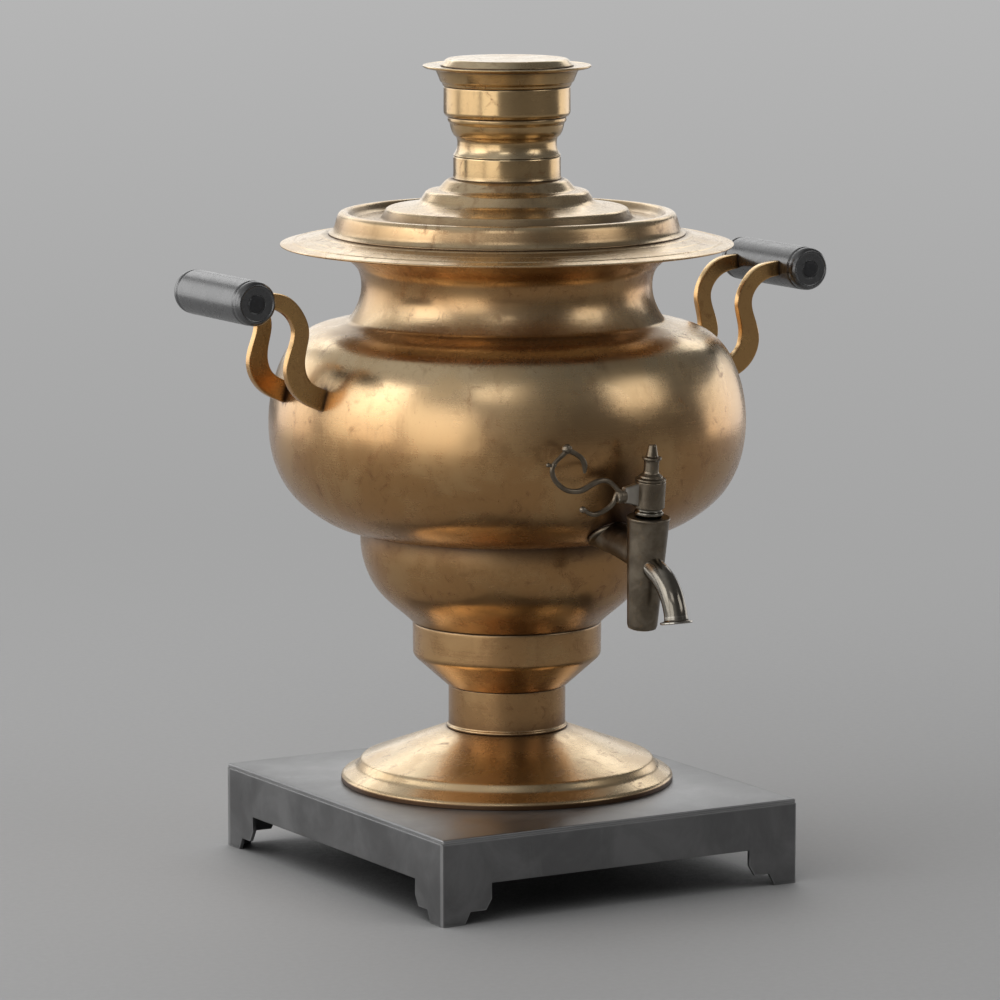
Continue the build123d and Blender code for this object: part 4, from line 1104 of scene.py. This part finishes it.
def buildBar(hand, place):
    gripX, gripZ = gripMiddle(hand)
    way = 1 if hand == "right" else -1
    barLow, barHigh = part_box(f"handle_bar_{hand}_{place}")
    y = (barLow.y + barHigh.y) / 2
    half, edge = handle["barSheet"] / 2, handle["barEdge"]
    lines = []
    for name in ("upper", "lower"):
        points = [(abs(gripX) - x * mm, gripZ + z * mm) for x, z in handle[name]]
        lines.append(untilBelly(splined(points, 10), abs(y) + half))
    # half of the bar's section as (inwards from its edge, outwards from its middle)
    corner = [(0, half - 3.2 * edge), (0, half - edge)]
    corner += [(0.27 * edge, half - 0.27 * edge), (edge, half), (3 * edge, half)]
    rows = []
    for top, bottom in zip(*lines):
        across = (bottom - top) / np.linalg.norm(bottom - top)
        quarters = [
            (top, across, 1, corner), (bottom, -across, 1, corner[::-1]),
            (bottom, -across, -1, corner), (top, across, -1, corner[::-1]),
        ]
        ring = []
        for spot, inward, side, quarter in quarters:
            for down, aside in quarter:
                flat = spot + inward * down
                ring.append((way * flat[0], y + side * aside, flat[1]))
        rows.append(ring)
    name = f"handleBar{hand.title()}{place.title()}"
    bar = skinned(name, rows, wrapRows=False, capped=True)
    finished(bar, handleBrass, "samovar", "handle_brass", f"handle_bar_{hand}_{place}")


def buildGrip(hand):
    x, z = gripMiddle(hand)
    end = [(r * mm, handle["gripHalf"] - y * mm) for r, y in handle["gripEnd"]]
    section = eased(end + [(r, -y) for r, y in end[::-1]], handle["gripRounding"], closed=False)
    grip = spun(f"grip{hand.title()}", section, 112, centre=(x, 0, z), axis=(0, 1, 0))
    finished(grip, blackLacquer, "samovar", "black_wood", f"grip_{hand}")


def buildCapNuts():
    section = eased([(r * mm, -y * mm) for r, y in handle["nutEnd"]], handle["nutRounding"], closed=False)
    parts = []
    for hand in ("left", "right"):
        x, z = gripMiddle(hand)
        for end in (-1, 1):
            rows = spunRows(section, 64, centre=(x, end * handle["gripHalf"], z), axis=(0, end, 0))
            parts.append((rows, {"wrapAcross": False}))
    finished(joined("gripCapNuts", parts), blackEnd, "samovar", "steel", "grip_cap_nuts")


for hand in ("left", "right"):
    buildGrip(hand)
    for place in ("front", "rear"):
        buildBar(hand, place)
buildCapNuts()
print("handles built")

# Pieces that stay as they were cut: inside, underneath or between others
plainPieces = [
    (standSteel, "stand_steel", ["stand_corner_brackets"]),
    (tinnedBrass, "tinned_brass", ["vessel_floor", "fire_pot", "flue_pipe"]),
    (castIron, "grate_iron", ["grate"]),
    (gasketLeather, "gasket_leather", ["tap_gasket"]),
    (agedBrass, "aged_brass", ["tap_washer", "lid_skirt"]),
    (crownBrass, "aged_brass", ["cap_skirt"]),
    (agedNickel, "aged_nickel", ["tap_lock_nut"]),
    (plainSteel, "steel", [
        "grip_rod_left", "grip_rod_right", "handle_strap_left", "handle_strap_right", "handle_nuts",
    ]),
]
for finish, slotName, nodes in plainPieces:
    for node in nodes:
        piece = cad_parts[node]
        piece.data.materials.clear()
        piece.data.materials.append(finish)

# Floor
floorLook = {
    "size": 40.0, "colour": 0.495, "mottle": (0.97, 1.03), "grain": (220, 4, 0.6), "roughness": (0.62, 0.72),
    "specular": 0.25, "bump": (0.1, 0.2 * mm), "shade": 0.02, "shadeReach": 0.12,
    # from this far out the camera sees an even tone, given as (distance, brightness)
    "fadeFrom": 0.45, "fadeTo": 1.5, "tones": [(0.4, 0.362), (2.2, 0.392), (5, 0.43), (9, 0.46)],
}


def addFloor():
    half = floorLook["size"] / 2
    corners = [(x * half, y * half, 0) for x, y in ((-1, -1), (1, -1), (1, 1), (-1, 1))]
    floor = solid("floor", corners, [[0, 1, 2, 3]])
    finish, tree, shader = startFinish("floorPaint")
    point = objectPoint(tree)
    fine = noise(tree, point, *floorLook["grain"])
    # painted shadow: the floor's colour darkens close under and around the stand
    paintedShadow = crevice(tree, floorLook["shadeReach"])
    paintedShadow = spanned(tree, paintedShadow, 0.1, 0.8, floorLook["shade"], 1)
    tones = [(floorLook["colour"] * k,) * 3 for k in floorLook["mottle"]]
    colour = blended(tree, 1.0, blended(tree, spanned(tree, fine, 0.3, 0.7), *tones), paintedShadow, "MULTIPLY")
    rough = spanned(tree, fine, 0.3, 0.7, *floorLook["roughness"])
    surfaced(tree, shader, colour, rough, fine, floorLook["bump"])
    shader.inputs["Specular IOR Level"].default_value = floorLook["specular"]
    x, y, z = apart(tree, point)
    away = fromAxis(tree, x, y)
    ramp = tree.nodes.new("ShaderNodeFloatCurve")
    reach = floorLook["tones"][-1][0]
    feed(tree, ramp.inputs["Value"], math(tree, "DIVIDE", away, reach))
    curve = ramp.mapping.curves[0]
    spots = [(distance / reach, tone) for distance, tone in floorLook["tones"]]
    curve.points[0].location = (0, spots[0][1])
    curve.points[1].location = spots[-1]
    for spot in spots[:-1]:
        curve.points.new(*spot)
    ramp.mapping.update()
    glow = added(tree, "ShaderNodeEmission", {"Strength": ramp.outputs[0]})
    seen = tree.nodes.new("ShaderNodeLightPath").outputs["Is Camera Ray"]
    share = covered(tree, away, floorLook["fadeFrom"], floorLook["fadeTo"], seen)
    both = added(tree, "ShaderNodeMixShader", {0: share, 1: shader.outputs[0], 2: glow.outputs[0]})
    tree.links.new(both.outputs[0], tree.nodes["Material Output"].inputs["Surface"])
    floor.data.materials.append(finish)


addFloor()

# Light: softboxes as (azimuth, elevation, width, height, radiance), in degrees
lamps = {
    "leftKey": (-103, 16, 44, 40, 1.45),
    "leftCore": (-95, 24, 26, 26, 0.9),
    "leftBack": (-153, 8, 38, 38, 1.35),
    "leftFront": (-62, 8, 30, 30, 1.5),
    "frontTop": (-36, 38, 18, 14, 1.2),
    "rightKey": (38, 27, 24, 22, 1.55),
    "rightRim": (100, 2, 44, 24, 1.35),
    "backRight": (150, 10, 40, 16, 0.8),
    "backTop": (150, 30, 62, 18, 1.4),
}
lampDistance = 2.4
lampTarget = (0, 0, 0.25)
sky = {"bright": 0.50, "dark": 0.13, "darkSide": (60, 8), "spread": (-0.35, 0.5)}


def addLamps():
    for name, (azimuth, elevation, width, height, radiance) in lamps.items():
        lamp = bpy.data.lights.new(name, "AREA")
        lamp.shape = "RECTANGLE"
        lamp.size = 2 * lampDistance * tan(radians(width / 2))
        lamp.size_y = 2 * lampDistance * tan(radians(height / 2))
        lamp.energy = radiance * pi * lamp.size * lamp.size_y
        holder = bpy.data.objects.new(name, lamp)
        bpy.context.scene.collection.objects.link(holder)
        out = outFrom(azimuth, elevation)
        holder.location = Vector(lampTarget) + out * lampDistance
        holder.rotation_mode = "QUATERNION"
        holder.rotation_quaternion = out.to_track_quat("Z", "Y")
        holder.visible_camera = False


def addSky():
    world = bpy.data.worlds.new("studio")
    bpy.context.scene.world = world
    world.use_nodes = True
    tree = world.node_tree
    tree.nodes.clear()
    background = tree.nodes.new("ShaderNodeBackground")
    output = tree.nodes.new("ShaderNodeOutputWorld")
    tree.links.new(background.outputs[0], output.inputs[0])
    x, y, z = apart(tree, tree.nodes.new("ShaderNodeTexCoord").outputs["Generated"])
    # the room is dark on one side, away from the windows
    way = outFrom(*sky["darkSide"])
    towards = plus(tree, plus(tree, times(tree, x, way.x), times(tree, y, way.y)), times(tree, z, way.z))
    greys = [(sky[k],) * 3 for k in ("bright", "dark")]
    colour = blended(tree, spanned(tree, towards, *sky["spread"]), *greys)
    tree.links.new(colour, background.inputs["Color"])


addLamps()
addSky()
print("studio lit")
